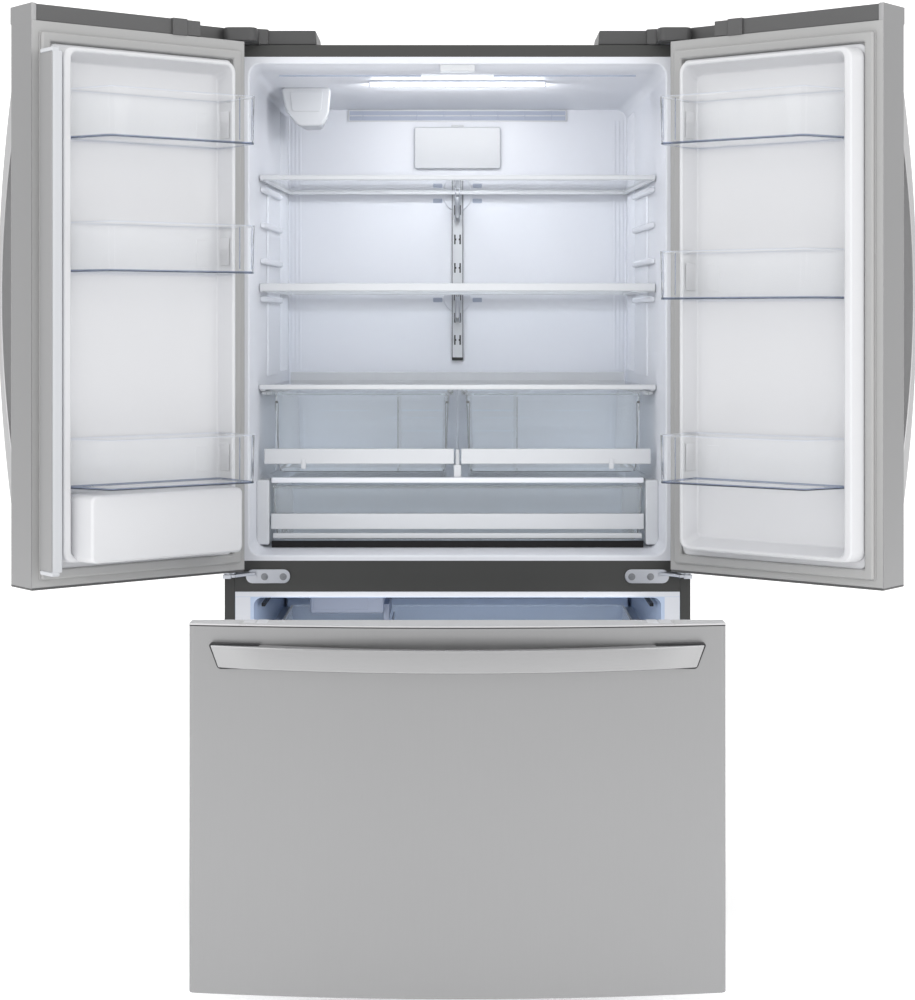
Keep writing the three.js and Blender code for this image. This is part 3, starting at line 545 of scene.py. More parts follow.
# finish: effect, colour or the name of its setting, strength of the bump, the effect's settings
FINISHES = {
    "brushed_stainless": (brushed_grain, "stainless", 0.05, {
        "stretch": (900, 900, 14), "contrast": 0.10, "roughness": 0.36, "spread": 0.12,
        "metallic": 1.0}),
    "handle_steel": (brushed_grain, "handle", 0.03, {
        "stretch": (60, 60, 700), "contrast": 0.06, "roughness": 0.24, "spread": 0.08,
        "metallic": 1.0}),
    # painted light: a lighter, less metallic copy of the handle steel, with a painted glow, so the
    # door handles look more lit than the lamps make them
    "door_handle_lit_steel": (brushed_grain, (0.47, 0.47, 0.475), 0.05, {
        "stretch": (60, 60, 700), "contrast": 0.06, "roughness": 0.32, "spread": 0.1,
        "metallic": 0.8}),
    "flap_steel": (brushed_grain, (0.36, 0.36, 0.365), 0.05, {
        "stretch": (900, 900, 14), "contrast": 0.06, "roughness": 0.34, "spread": 0.1,
        "metallic": 0.7}),
    "fin_aluminium": (brushed_grain, (0.72, 0.73, 0.75), 0.05, {
        "stretch": (20, 300, 300), "contrast": 0.2, "roughness": 0.38, "spread": 0.2,
        "metallic": 1.0}),
    "screw_steel": (moulded_grain, (0.30, 0.31, 0.33), 0.1, {
        "size": 160, "contrast": 0.3, "roughness": 0.3, "spread": 0.2, "metallic": 1.0}),
    "zinc_plate": (moulded_grain, "zinc", 0.1, {
        "size": 160, "contrast": 0.25, "roughness": 0.32, "spread": 0.2, "metallic": 1.0}),
    "cap_grey": (moulded_grain, (0.60, 0.60, 0.605), 0.08, {**PLAIN, "size": 700}),
    "frame_grey": (moulded_grain, "frame_grey", 0.08, {**PLAIN, "size": 700}),
    "gasket_rubber": (moulded_grain, "frame_grey", 0.12, {
        "size": 500, "contrast": 0.06, "roughness": 0.62, "spread": 0.1}),
    "case_paint": (moulded_grain, "case_paint", 0.25, {
        "size": 420, "contrast": 0.12, "roughness": 0.48, "spread": 0.12, "metallic": 0.2}),
    "trim_plastic": (moulded_grain, "trim", 0.2, {
        "size": 800, "contrast": 0.08, "roughness": 0.5, "spread": 0.12}),
    "cover_plastic": (moulded_grain, (0.066, 0.066, 0.067), 0.1, {
        "size": 420, "contrast": 0.06, "roughness": 0.45, "spread": 0.1}),
    # painted shadow: near black for the shade seen through the gap under the pantry drawer
    "painted_gap_shadow_black": (moulded_grain, (0.006, 0.006, 0.007), 0.05, {
        "size": 300, "contrast": 0.05, "roughness": 0.9, "spread": 0.05}),
    "black_moulding": (moulded_grain, (0.012, 0.012, 0.014), 0.15, {
        "size": 800, "contrast": 0.2, "roughness": 0.45, "spread": 0.15}),
    "black_enamel": (moulded_grain, (0.022, 0.022, 0.024), 0.12, {
        "size": 300, "contrast": 0.3, "roughness": 0.4, "spread": 0.2, "metallic": 0.3}),
    "liner_plastic": (moulded_grain, "liner", 0.03, POLISHED),
    # painted shade: the freezer liner's darker blue stands for the shade inside it
    "freezer_shaded_plastic": (moulded_grain, "freezer", 0.03, {**POLISHED, "contrast": 0.03}),
    "door_liner_plastic": (moulded_grain, "door_liner", 0.03, {**POLISHED, "roughness": 0.36}),
    "white_trim": (moulded_grain, "white_trim", 0.03, {
        **POLISHED, "size": 300, "roughness": 0.3}),
    # painted shade: a darkened blue-grey copy of the white trim, for the ice maker, louvres,
    # outlets and ceiling seam seen in shade
    "painted_shade_grey": (moulded_grain, (0.40, 0.44, 0.54), 0.05, {
        "size": 400, "contrast": 0.05, "roughness": 0.5, "spread": 0.1}),
    "lit_lens": (moulded_grain, (0.95, 0.96, 1.0), 0.02, {
        "size": 300, "contrast": 0.02, "roughness": 0.3, "spread": 0.05}),
}

# clear finish: colour or the name of its setting, roughness, refraction, smears, painted glow that
# brightens it
CLEAR_FINISHES = {
    "bin_clear_plastic": ("clear", 0.02, 1.2, 0.02, 0.014),
    "drawer_clear_plastic": ("tinted", 0.05, 1.3, 0.04, 0.02),
    "shelf_float_glass": ((0.945, 0.96, 0.975), 0.02, 1.3, 0.02, 0.0),
    # the rim's glow is a painted highlight along the bins' top lip
    "rim_plastic": ((0.90, 0.92, 0.97), 0.12, 1.3, 0.04, 0.05),
    # darker blue tint: partly the deeper tint of thick clear plastic, partly painted shade for the
    # dark lines the bins show along their foot and ribs
    "clear_edge": ((0.42, 0.48, 0.62), 0.08, 1.4, 0.05, 0.0),
}
LENS_GLOW = (0.92, 0.96, 1.0)
# painted glow that brightens the door handles, which are no lamp
PAINTED_HANDLE_GLOW = 0.05


def chosen(colour):
    """A colour, looked up in the settings when it is a name."""
    settings = bpy.context.scene.refrigerator_colours
    return getattr(settings, colour) if isinstance(colour, str) else colour


def finish(name):
    """The material of a finish, made when it is first asked for."""
    if name in CLEAR_FINISHES:
        colour, *settings = CLEAR_FINISHES[name]
        return see_through(name, chosen(colour), *settings)
    effect, colour, bump, settings = FINISHES[name]
    material = grained(name, effect(), chosen(colour), bump, **settings)
    if name == "lit_lens":
        glowing(material, LENS_GLOW, bpy.context.scene.refrigerator_studio.lamp_power)
    # the door handles get their painted glow here
    elif name == "door_handle_lit_steel":
        glowing(material, (1, 1, 1), PAINTED_HANDLE_GLOW)
    return material


# ---- cabinet ----
def draw_case():
    """Side and top sheets in one bend, and the back sheet above the machine room."""
    sheet = 2
    outer, inner = HALF, HALF - sheet
    bend = [(outer, CASE_BOTTOM), (outer, CASE_TOP), (-outer, CASE_TOP), (-outer, CASE_BOTTOM),
            (-inner, CASE_BOTTOM), (-inner, CASE_TOP - sheet), (inner, CASE_TOP - sheet),
            (inner, CASE_BOTTOM)]
    wrap = rounded(prism(bend, "y", 0, DEPTH), 0.8)
    back = block(-inner, inner, DEPTH - 3, DEPTH - 1, MACHINE_TOP, CASE_TOP - sheet, 0.5)
    return joined(wrap, back)


def draw_front_frame():
    """The folded flange that shows round the liners."""
    inner = HALF - FLANGE
    sides = both_sides(lambda: block(inner, HALF, -0.2, 3, CASE_BOTTOM, CASE_TOP - 0.5, 0.8))
    top = block(-inner - 1, inner + 1, -0.2, 3, CASE_TOP - 23, CASE_TOP - 0.5, 0.8)
    return joined(sides, top)


class RefrigeratorCase(bpy.types.Operator):
    """Build the case sheets, front frame, compartment rail, rear cover and base"""

    bl_idname = "refrigerator.case"
    bl_label = "Build Case"

    def execute(self, context):
        fixed("case_shell", draw_case(), "case_paint", ["outer_case", "insulation_foam"])
        fixed("case_front_frame", draw_front_frame(), "case_paint")
        inner = HALF - FLANGE
        rail = block(-inner, inner, -0.2, 3, RAIL_BOTTOM, RAIL_TOP, 0.8)
        fixed("compartment_rail", rail, "case_paint", ["centre_rail"])
        self.rear_cover()
        self.base()
        return {"FINISHED"}

    def rear_cover(self):
        low, high = cad_mm("machine_cover")
        y1 = DEPTH - 0.3
        sheet = block(low.x, high.x, y1 - 1.5, y1, low.z, high.z, 0.5)
        slats = []
        for row in range(5):
            for x in (-300, -180, 180, 300):
                z = 105 + row * 32
                slats.append(block(x - 42, x + 42, y1 - 1, y1 + 0.25, z, z + 9, 0.2, 1))
        fixed("rear_cover", sheet, "case_paint", ["machine_cover"])
        fixed("rear_cover_vents", joined(*slats), "black_moulding")

    def base(self):
        parts = []
        for index in range(-14, 15):
            parts.append(block(index * 28 - 4, index * 28 + 4, 7, 14, 30, 58, 1.5))
        parts.append(block(-444, 444, 6, 18, 24, 32, 2))
        parts.append(block(-444, 444, 6, 18, 56, 63.5, 2))
        parts.append(both_sides(lambda: block(416, 444, 6, 18, 24, 63.5, 2)))
        fixed("toe_grille", joined(*parts), "black_moulding")
        frame_parts = [
            block(-440, 440, 20, 735, 60, 63.5, 0.5),
            both_sides(lambda: block(405, 440, 20, 650, 30, 61, 1.5)),
            both_sides(lambda: bar("x", 690, 27, 400, 446, 4, 16)),
            both_sides(lambda: block(405, 409, 650, 735, 10, 61, 1)),
            both_sides(lambda: bar("z", 400, 55, 0, 6, 19, 24, 1.5)),
            both_sides(lambda: bar("z", 400, 55, 5, 40, 6, 16)),
            both_sides(lambda: bar("z", 400, 55, 18, 26, 13, 6, 1)),
        ]
        fixed("base_rails", joined(*frame_parts), "black_enamel", ["base_frame"])


class RefrigeratorHinges(bpy.types.Operator):
    """Build the upper hinge covers and the lower hinges"""

    bl_idname = "refrigerator.hinges"
    bl_label = "Build Hinges"

    def execute(self, context):
        for name, side in SIDES:
            place = cabinet_place(side)
            finished(f"hinge_cap_{name}", self.cover(), place, "cabinet", "cover_plastic",
                     [f"hinge_cover_{name}"])
            finished(f"hinge_bracket_{name}", self.bracket(), place, "cabinet", "zinc_plate",
                     [f"lower_hinge_{name}"])
            finished(f"hinge_screws_{name}", self.screws(), place, "cabinet", "screw_steel")
        return {"FINISHED"}

    def cover(self):
        low, high = cad_mm("hinge_cover_right")
        x0, x1 = low.x, high.x
        y0, y1 = low.y - FRONT, high.y - FRONT
        nose = prism(rectangle(x1 - 66, x1 - 1, y0 + 3, 30), "z", low.z + 0.2, high.z - 4, 15, 6)
        rounded(nose, 2.5, 3, 50)
        body = rounded(prism(rectangle(x0, x1 - 78, 6, y1), "z", low.z, high.z - 2), 3, 3)
        front = [v for v in body.verts if v.co.x < x0 + 8 and v.co.z > high.z - 20]
        bmesh.ops.translate(body, vec=(1.5, 0, 0), verts=front)
        plan = [(x1 - 84, 2), (x1 - 60, -8), (x1, 12), (x1, y1 - 4), (x1 - 84, y1 - 4)]
        neck = rounded(prism(plan, "z", low.z + 0.1, high.z), 3, 3)
        return joined(nose, body, neck)

    def bracket(self):
        plate = rounded(prism(rectangle(326, 412, 688, 715), "y", -4, -0.3, corner=13), 1)
        arm_points = [(392, -0.5), (392, -14), (PIVOT_X - 12, -PIVOT_Y - 10),
                      (PIVOT_X + 10, -PIVOT_Y - 10), (PIVOT_X + 12.5, -6), (412, -0.5)]
        arm = rounded(prism(arm_points, "z", 705, 711), 1.2)
        pin = bar("z", PIVOT_X, -PIVOT_Y, 708, 742, 6, 24, 1)
        washer = bar("z", PIVOT_X, -PIVOT_Y, 711, 714.5, 12, 24, 0.8)
        fold = block(390, 412, -5, -0.3, 700, 711, 1.5)
        stop = block(PIVOT_X - 4, PIVOT_X + 12.5, -PIVOT_Y - 13, -PIVOT_Y - 7, 703, 711, 1)
        return joined(plate, arm, pin, washer, fold, stop)

    def screws(self):
        heads = []
        for x in (339.4, 375.8):
            heads.append(bar("y", x, 701, -5.6, -3.6, 7, 24, 0.8))
            socket = bar("y", x, 701, -6.8, -5, 4, 6, 0.4)
            heads.append(socket)
        return joined(*heads)


def draw_liner(flange, opening, back, lip, corner):
    """A vacuum formed liner: a flange, a rounded mouth and a tapered tub.

    flange, opening and back are (half width, low z, high z), lip is (high z, depth) where the
    ceiling starts, and back also gives the tub's depth.
    """
    bm = bmesh.new()
    half, low, high = flange
    face = bm.faces.new([bm.verts.new((x, 0, z)) for x, z in rectangle(-half, half, low, high)])
    bm.normal_update()
    if face.normal.y > 0:
        face.normal_flip()

    def sink(face, half, low, high, depth, first=False):
        if first:
            bmesh.ops.inset_region(bm, faces=[face], thickness=8, use_boundary=True)
            verts = face.verts[:]
            inner = face
        else:
            inner = drawn_face(bm, face)
            verts = inner.verts[:]
        middle = sum(v.co.z for v in verts) / len(verts)
        for v in verts:
            v.co.x = math.copysign(half, v.co.x)
            v.co.z = high if v.co.z > middle else low
            v.co.y = depth
        return inner

    inner = sink(face, *opening, 0, first=True)
    half, low, high = opening
    inner = sink(inner, half - 1, low + 1, high - 1, 9)
    inner = sink(inner, half - 2, low + 2.5, *lip)
    back_half, back_low, back_high, depth = back
    sink(inner, back_half, back_low, back_high, depth)
    bm.normal_update()
    long_edges = [e for e in bm.edges if len(e.link_faces) == 2 and e.calc_face_angle(0) > 0.5
                  and abs((e.verts[0].co - e.verts[1].co).normalized().y) > 0.5]
    bmesh.ops.bevel(bm, geom=long_edges, offset=corner, segments=5, profile=0.5, affect="EDGES",
                    material=-1, clamp_overlap=True)
    bm.normal_update()
    cross = [e for e in sharp_edges(bm, 25)]
    bmesh.ops.bevel(bm, geom=cross, offset=6, segments=4, profile=0.5, affect="EDGES",
                    material=-1, clamp_overlap=True)
    bmesh.ops.solidify(bm, geom=bm.faces[:], thickness=2.4)
    return bm


class RefrigeratorLiners(bpy.types.Operator):
    """Build the white liner of the upper compartment, the rim round the freezer's mouth, the shelf
    ledges and the corner flutes
    """

    bl_idname = "refrigerator.liners"
    bl_label = "Build Liners"

    def execute(self, context):
        edge = HALF - FLANGE - 0.3
        fresh = draw_liner(
            (edge, RAIL_TOP, CASE_TOP - 23.3), (406, 742, 1700), (380, 752, 1676, FRESH_BACK),
            (1685, 40), 22)
        fixed("fresh_food_liner", fresh, "liner_plastic", ["fresh_liner"])
        top = RAIL_BOTTOM - 10
        mouth = joined(block(-edge, edge, -0.1, 2, top, RAIL_BOTTOM, 0.6),
                       block(-edge, edge, -0.1, 2, 84, 108, 0.6),
                       both_sides(lambda: block(edge - 30, edge, -0.1, 2, 108, top, 0.6)))
        fixed("freezer_mouth_rim", mouth, "liner_plastic")
        fixed("shelf_ledges", self.ledges(), "liner_plastic")
        fixed("corner_flutes", self.flutes(), "liner_plastic")
        return {"FINISHED"}

    def wall(self, y):
        """Half the inside width at a depth."""
        return 404 - 24 * y / FRESH_BACK

    def ledges(self):
        """Soft shelf supports moulded on the side walls."""
        def one_side():
            parts = []
            for z in (1472, 1400, 1327, 1250):
                outline = [(self.wall(150) + 1, 150), (self.wall(150) - 9, 168),
                           (self.wall(430) - 11, 415), (self.wall(440) + 1, 440)]
                parts.append(rounded(prism(outline, "z", z - 13, z), 4, 3))
            parts.append(rounded(prism(
                [(self.wall(250) + 1, 250), (self.wall(250) - 3, 256), (self.wall(420) - 3, 414),
                 (self.wall(420) + 1, 420)], "z", 1085, 1466), 1.4))
            return joined(*parts)
        return both_sides(one_side)

    def flutes(self):
        """Upright ribs in the rear corners."""
        def one_side():
            parts = []
            for index in range(6):
                y = 470 + index * 22
                x = self.wall(y + 5)
                parts.append(block(x - 1.6, x + 2, y, y + 9, 1090, 1655, 0.8))
            for index in range(3):
                x = 372 - index * 9
                parts.append(block(x - 2, x + 2, FRESH_BACK - 1.4, FRESH_BACK + 1, 1090, 1650, 0.6))
            return joined(*parts)
        return both_sides(one_side)


class RefrigeratorBackWall(bpy.types.Operator):
    """Build the air duct panel, shelf track, lamp, filter housing and air outlets"""

    bl_idname = "refrigerator.back_wall"
    bl_label = "Build Back Wall"

    def execute(self, context):
        back = FRESH_BACK
        fixed("duct_panel", self.duct(back), "white_trim", ["air_duct_panel"])
        # the louvres, air outlets and ceiling seam use the painted-shade grey for the shade in them
        fixed("duct_louvres", self.louvres(back), "painted_shade_grey")
        fixed("air_outlets", self.outlets(back), "painted_shade_grey")
        fixed("shelf_track_bar", self.track(back), "white_trim", ["shelf_track"])
        fixed("shelf_track_slots", self.slots(back), "black_moulding")
        fixed("track_bosses", self.bosses(back), "liner_plastic")
        fixed("lamp_lens", self.lens(), "lit_lens", ["ceiling_lamp"])
        fixed("lamp_housing", self.lens_housing(), "liner_plastic")
        fixed("ceiling_seam", self.ceiling(), "painted_shade_grey")
        fixed("water_filter_cover", self.filter(), "white_trim", ["filter_housing"])
        fixed("flap_guide", self.guide(), "white_trim", ["mullion_guide"])
        return {"FINISHED"}

    def duct(self, back):
        cover = rounded(prism(rectangle(-96.5, 96.5, 1542, 1635), "y", back - 16, back, 5), 2, 3)
        brow = rounded(prism(rectangle(-14, 14, 1635, 1640), "y", back - 12, back - 1), 1)
        strip = ring(rectangle(-247, 247, 1648, 1675), "y", back - 4, back, 3, 2)
        middle = block(-246, 246, back - 3, back, 1660.5, 1663, 0.5)
        return joined(cover, brow, strip, middle)

    def louvres(self, back):
        parts = [block(-243, 243, back - 1.2, back + 0.5, 1651, 1672, 0)]
        for index in range(8):
            x = -243 + (index + 0.5) * 60.7
            parts.append(block(x - 0.8, x + 0.8, back - 3.4, back, 1651, 1672, 0.2, 1))
        return joined(*parts)

    def outlets(self, back):
        parts = []
        for z in (1507, 1470, 1247):
            def one_side(z=z):
                plan = rectangle(34, 55, z - 5, z + 5)
                return rounded(prism(plan, "y", back - 1.4, back + 1, 2), 0.4)
            parts.append(both_sides(one_side))
        return joined(*parts)

    def track(self, back):
        return rounded(prism(rectangle(-11.5, 11.5, 1116, 1500), "y", back - 8, back, 1.5), 1, 2)

    def slots(self, back):
        parts = []
        # painted shade: the black patches in the slots stand for the shade inside them
        for z in (1146, 1196, 1246, 1308, 1372, 1438):
            def one_side(z=z):
                return joined(block(4.2, 7.6, back - 8.3, back - 6, z, z + 22, 0.4),
                              block(2.6, 5.2, back - 8.3, back - 6, z + 9, z + 13, 0.3))
            parts.append(both_sides(one_side))
        parts.append(both_sides(lambda: block(11.3, 12.6, back - 8, back, 1114, 1500, 0.3)))
        foot = rectangle(-12.5, 12.5, 1111, 1118)
        parts.append(rounded(prism(foot, "y", back - 8.6, back, 2), 0.5))
        return joined(*parts)

    def bosses(self, back):
        parts = []
        for z in (1478, 1250):
            parts.append(bar("y", 0, z, back - 6, back + 1, 31, 40, 3))
        return joined(*parts)

    def lens(self):
        low, high = cad_mm("ceiling_lamp")
        y0 = low.y - FRONT
        plan = rectangle(low.x, high.x, y0, y0 + 7)
        return rounded(prism(plan, "z", low.z, high.z - 4, 3), 1.5, 2)

    def lens_housing(self):
        low, high = cad_mm("ceiling_lamp")
        y0, y1 = low.y - FRONT, high.y - FRONT
        plan = rectangle(low.x - 4, high.x + 4, y0 + 7.5, y1)
        return rounded(prism(plan, "z", low.z + 1, high.z + 2, 5), 1.5, 2)

    def ceiling(self):
        """Front seam of the ceiling panel on both sides of the flap guide."""
        def half():
            return block(72, 352, 52, 54, 1681.5, 1686, 0.4)
        return both_sides(half)

    def filter(self):
        low, high = cad_mm("filter_housing")
        y0, y1 = low.y - FRONT, high.y - FRONT
        top = high.z + 4.5
        outline = [(low.x, top), (high.x, top), (high.x - 5, low.z + 26), (high.x - 20, low.z + 1),
                   (low.x + 38, low.z), (low.x + 10, low.z + 34)]
        shell = prism(outline, "y", y0 + 4, y1, 10, 5)
        rear = [v for v in shell.verts if v.co.y > y1 - 1]
        bmesh.ops.scale(shell, vec=(0.72, 1, 0.8), verts=rear,
                        space=Matrix.Translation((-low.x - 30, 0, -top)))
        nose = [v for v in shell.verts if v.co.y < y0 + 5]
        bmesh.ops.scale(shell, vec=(0.95, 1, 0.97), verts=nose,
                        space=Matrix.Translation((-(low.x + high.x) / 2, 0, -top)))
        rounded(shell, 9, 4, 60)
        ring_line = prism([(low.x + 22, top - 8), (high.x - 20, top - 8), (high.x - 24, low.z + 34),
                           (low.x + 26, low.z + 34)], "y", y0 + 2, y0 + 12, 6)
        return joined(shell, rounded(ring_line, 1.5))

    def guide(self):
        low, high = cad_mm("mullion_guide")
        body = block(low.x, high.x, 3, 28, low.z, high.z, 1.6)
        lip = block(-12, 22, 2, 8, low.z + 2, high.z - 3, 1)
        return joined(body, lip)


class RefrigeratorShelves(bpy.types.Operator):
    """Build the two glass shelves, each with its frame and the arms that hook into the track"""

    bl_idname = "refrigerator.shelves"
    bl_label = "Build Shelves"

    def execute(self, context):
        glass = context.scene.refrigerator_sizes.glass_edge / MM
        for name, node in (("upper", "upper_shelf"), ("middle", "middle_shelf")):
            low = cad_mm(node)[0]
            bottom = low.z + 32
            thick = 10 if name == "upper" else 16
            front, back = low.y - FRONT, 588
            fixed(f"{name}_shelf_glass", self.glass(bottom + thick - 6, glass, front, back),
                  "shelf_float_glass", [node])
            fixed(f"{name}_shelf_frame", self.frame(bottom, thick, front, back), "white_trim")
            fixed(f"{name}_shelf_arms", self.arms(bottom), "zinc_plate")
        return {"FINISHED"}

    def glass(self, z, thick, front, back):
        outline = [(-392, front + 5), (392, front + 5), (371, back - 6), (-371, back - 6)]
        return rounded(prism(outline, "z", z, z + thick), 0.6, 1)

    def frame(self, z, thick, front, back):
        trim = block(-399, 399, front, front + 14, z, z + thick, 2.5, 3)
        rear = block(-377, 377, back - 7, back, z - 1, z + 19, 1.5)

        def side():
            outline = [(392, front + 6), (398.4, front + 6), (377, back - 2), (370, back - 2)]
            return rounded(prism(outline, "z", z - 2, z + thick - 1), 1)
        return joined(trim, rear, both_sides(side))

    def arms(self, z):
        """Two pressed steel arms, deep at the track and shallow at the front."""
        def arm():
            outline = [(320, z - 3), (320, z - 14), (520, z - 30), (596, z - 62), (606, z - 62),
                       (606, z - 3)]
            return rounded(prism(outline, "x", 3.5, 5.5), 0.5, 1)
        web = block(-5, 5, 590, 598, z - 52, z - 6, 1)
        return joined(both_sides(arm), web)


def draw_clear_box(outline, z0, z1, wall, corner, draft=0.96, rim=2.0):
    """A clear open box: rounded corners, sides that lean out and a thicker lip."""
    bm = prism(outline, "z", z0, z1, corner)
    centre = sum((v.co for v in bm.verts), Vector()) / len(bm.verts)
    base = [v for v in bm.verts if v.co.z < z0 + 0.1]
    bmesh.ops.scale(bm, vec=(draft, draft, 1), verts=base,
                    space=Matrix.Translation((-centre.x, -centre.y, 0)))
    bm.normal_update()
    floor_edges = [e for e in sharp_edges(bm, 45) if all(v.co.z < z0 + 0.1 for v in e.verts)]
    bmesh.ops.bevel(bm, geom=floor_edges, offset=min(corner, 16) * 0.75, segments=4, profile=0.5,
                    affect="EDGES", material=-1, clamp_overlap=True)
    bm.normal_update()
    hollowed(bm, wall, (0, 0, 1), z1 - z0 - wall, 1 - draft)
    lip = prism(outline, "z", z1 - rim - 2, z1 + 0.2, corner)
    lip.normal_update()
    top = face_toward(lip, (0, 0, 1))
    bottom = face_toward(lip, (0, 0, -1))
    bmesh.ops.inset_region(lip, faces=[top], thickness=wall + rim, use_even_offset=True)
    bmesh.ops.inset_region(lip, faces=[bottom], thickness=wall + rim, use_even_offset=True)
    bmesh.ops.bridge_loops(lip, edges=list({*top.edges, *bottom.edges}))
    bmesh.ops.delete(lip, geom=[top, bottom], context="FACES_ONLY")
    recalculated(lip)
    rounded(lip, 0.8, 2, 50)
    return joined(bm, lip)


class RefrigeratorCrispers(bpy.types.Operator):
    """Build the crisper cover, the crispers, their sliders, the pantry drawer and its frame"""

    bl_idname = "refrigerator.crispers"
    bl_label = "Build Crispers"

    def execute(self, context):
        wall = context.scene.refrigerator_sizes.clear_wall / MM
        self.cover()
        self.pantry_frame()
        for name, side in SIDES:
            body = f"crisper_{name}"
            place = cabinet_place(side)
            outline = [(17, 129), (369, 129), (355, 559), (17, 559)]
            flange = [(8, 129), (386, 129), (371, 560), (8, 560)]
            box = joined(draw_clear_box(outline, 894, 1053, wall, 16),
                         rounded(ring(flange, "z", 1050, 1055.5, 9), 1))
            finished(f"{body}_box", box, place, body, "drawer_clear_plastic", [body])
            finished(f"{body}_band", self.band(), place, body, "white_trim")
            finished(f"{body}_stops", self.stops(), place, body, "trim_plastic")
            finished(f"{body}_panel", self.inner_panel(), place, body, "drawer_clear_plastic")
            slider = joined(block(304, 314, 118, 121.4, 902, 913, 1.2),
                            block(305, 313, 119, 125, 909, 922, 0.5))
            finished(f"vent_slider_{name}", slider, place, f"humidity_slider_{name}",
                     "white_trim", [f"humidity_slider_{name}"])
        self.pantry(wall)
        return {"FINISHED"}

    def cover(self):
        outline = [(-391, 130), (391, 130), (370, 560), (-370, 560)]
        fixed("crisper_cover_glass", rounded(prism(outline, "z", 1064, 1068), 0.5, 1),
              "shelf_float_glass", ["crisper_cover"])
        parts = [
            block(-399, 399, 124, 138, 1061, 1071, 2.2, 3),
            block(-371, 371, 561, 575, 1061, 1086, 1.5),
        ]
        fixed("crisper_cover_frame", joined(*parts), "white_trim")

        def side_bits():
            rail = [(389, 132), (397, 132), (376, 572), (368, 572)]
            runner = [(376, 150), (396, 150), (378, 570), (360, 570)]
            return joined(rounded(prism(rail, "z", 1058, 1067), 1),
                          rounded(prism(runner, "z", 1050.5, 1057), 1))
        divider = block(-1.6, 1.6, 136, 560, 896, 1060, 0.5)
        fixed("crisper_divider", divider, "drawer_clear_plastic")
        nose = joined(block(-4, 4, 130, 140, 905, 940, 1.5),
                      block(-7.5, 7.5, 127, 150, 884, 910, 2))
        fixed("crisper_divider_nose", nose, "white_trim")
        fixed("crisper_runners", both_sides(side_bits), "white_trim")

    def band(self):
        front = rounded(prism(rectangle(7.5, 388, 912, 942), "y", 121.5, 132, 1.5), 1.2)
        return joined(front, block(7.5, 388, 121.8, 136, 939.5, 942.2, 0.6))

    def stops(self):
        """Small catches at the crisper's upper front corners, with the grooves below them drawn as
        dark strips of painted shade.
        """
        parts = []
        for x, turn in ((21, 1), (364, -1)):
            parts.append(block(x - 3, x + 3, 127, 130, 1034, 1038, 0.6))
            parts.append(block(x + turn * 3 - 0.6, x + turn * 3 + 0.6, 128, 130, 944, 1035, 0.2))
        return joined(*parts)

    def inner_panel(self):
        """Upright ribs and the step inside the crisper's back."""
        parts = [block(124, 126, 300, 548, 905, 1040, 0.6)]
        for z in (955, 1000, 1044):
            parts.append(block(20, 124, 540, 545, z, z + 4, 0.8))
        for x in (26, 366):
            parts.append(block(x - 1.5, x + 1.5, 133, 139, 900, 1046, 0.8))
        for x, z in ((80, 1000), (104, 984), (250, 1000)):
            parts.append(block(x - 58, x + 58, 548, 551, z, z + 3, 0.6))
        return joined(*parts)

    def pantry_frame(self):
        deck = [(-396, 122), (396, 122), (372, 575), (-372, 575)]
        fixed("pantry_cover_sheet", rounded(prism(deck, "z", 879, 883), 0.6, 1),
              "shelf_float_glass", ["pantry_frame"])
        edge = [block(-373, 373, 112, 126, 874.5, 885, 1.5),
                block(-374, 374, 565, 577, 877, 892, 1.5)]
        fixed("pantry_cover_edges", joined(*edge), "liner_plastic")

        def cheek():
            outline = [(376.5, 100), (401.5, 100), (397, 240), (384, 250), (376.5, 250)]
            body = rounded(prism(outline, "z", 752, 881), 2.5, 3)
            guide = block(375, 380, 200, 570, 770, 783, 1)
            return joined(body, guide)
        fixed("pantry_cheeks", both_sides(cheek), "white_trim")

    def pantry(self, wall):
        outline = rectangle(-371, 371, 117, 555)
        finished("pantry_box", draw_clear_box(outline, 760, 868, wall, 12, 0.98), CABINET,
                 "pantry_drawer", "drawer_clear_plastic", ["pantry_drawer"])
        trims = [rounded(prism(rectangle(-373.5, 373.5, 782, 813), "y", 110, 121, 1.5), 1.4),
                 block(-370, 370, 112, 120, 763, 774, 2)]
        finished("pantry_band", joined(*trims), CABINET, "pantry_drawer", "white_trim")
        # painted shadow: a near-black strip in the gap under the pantry drawer, where there is only
        # shade
        gap = block(-372, 372, 104, 108, 746, 759.4, 0.5)
        fixed("pantry_gap_painted_shadow", gap, "painted_gap_shadow_black")
        lid = [block(-368, 368, 113, 116.5, 816, 864, 1), block(-370, 370, 111, 150, 864, 867.5, 1)]
        finished("pantry_front_window", joined(*lid), CABINET, "pantry_drawer",
                 "drawer_clear_plastic")


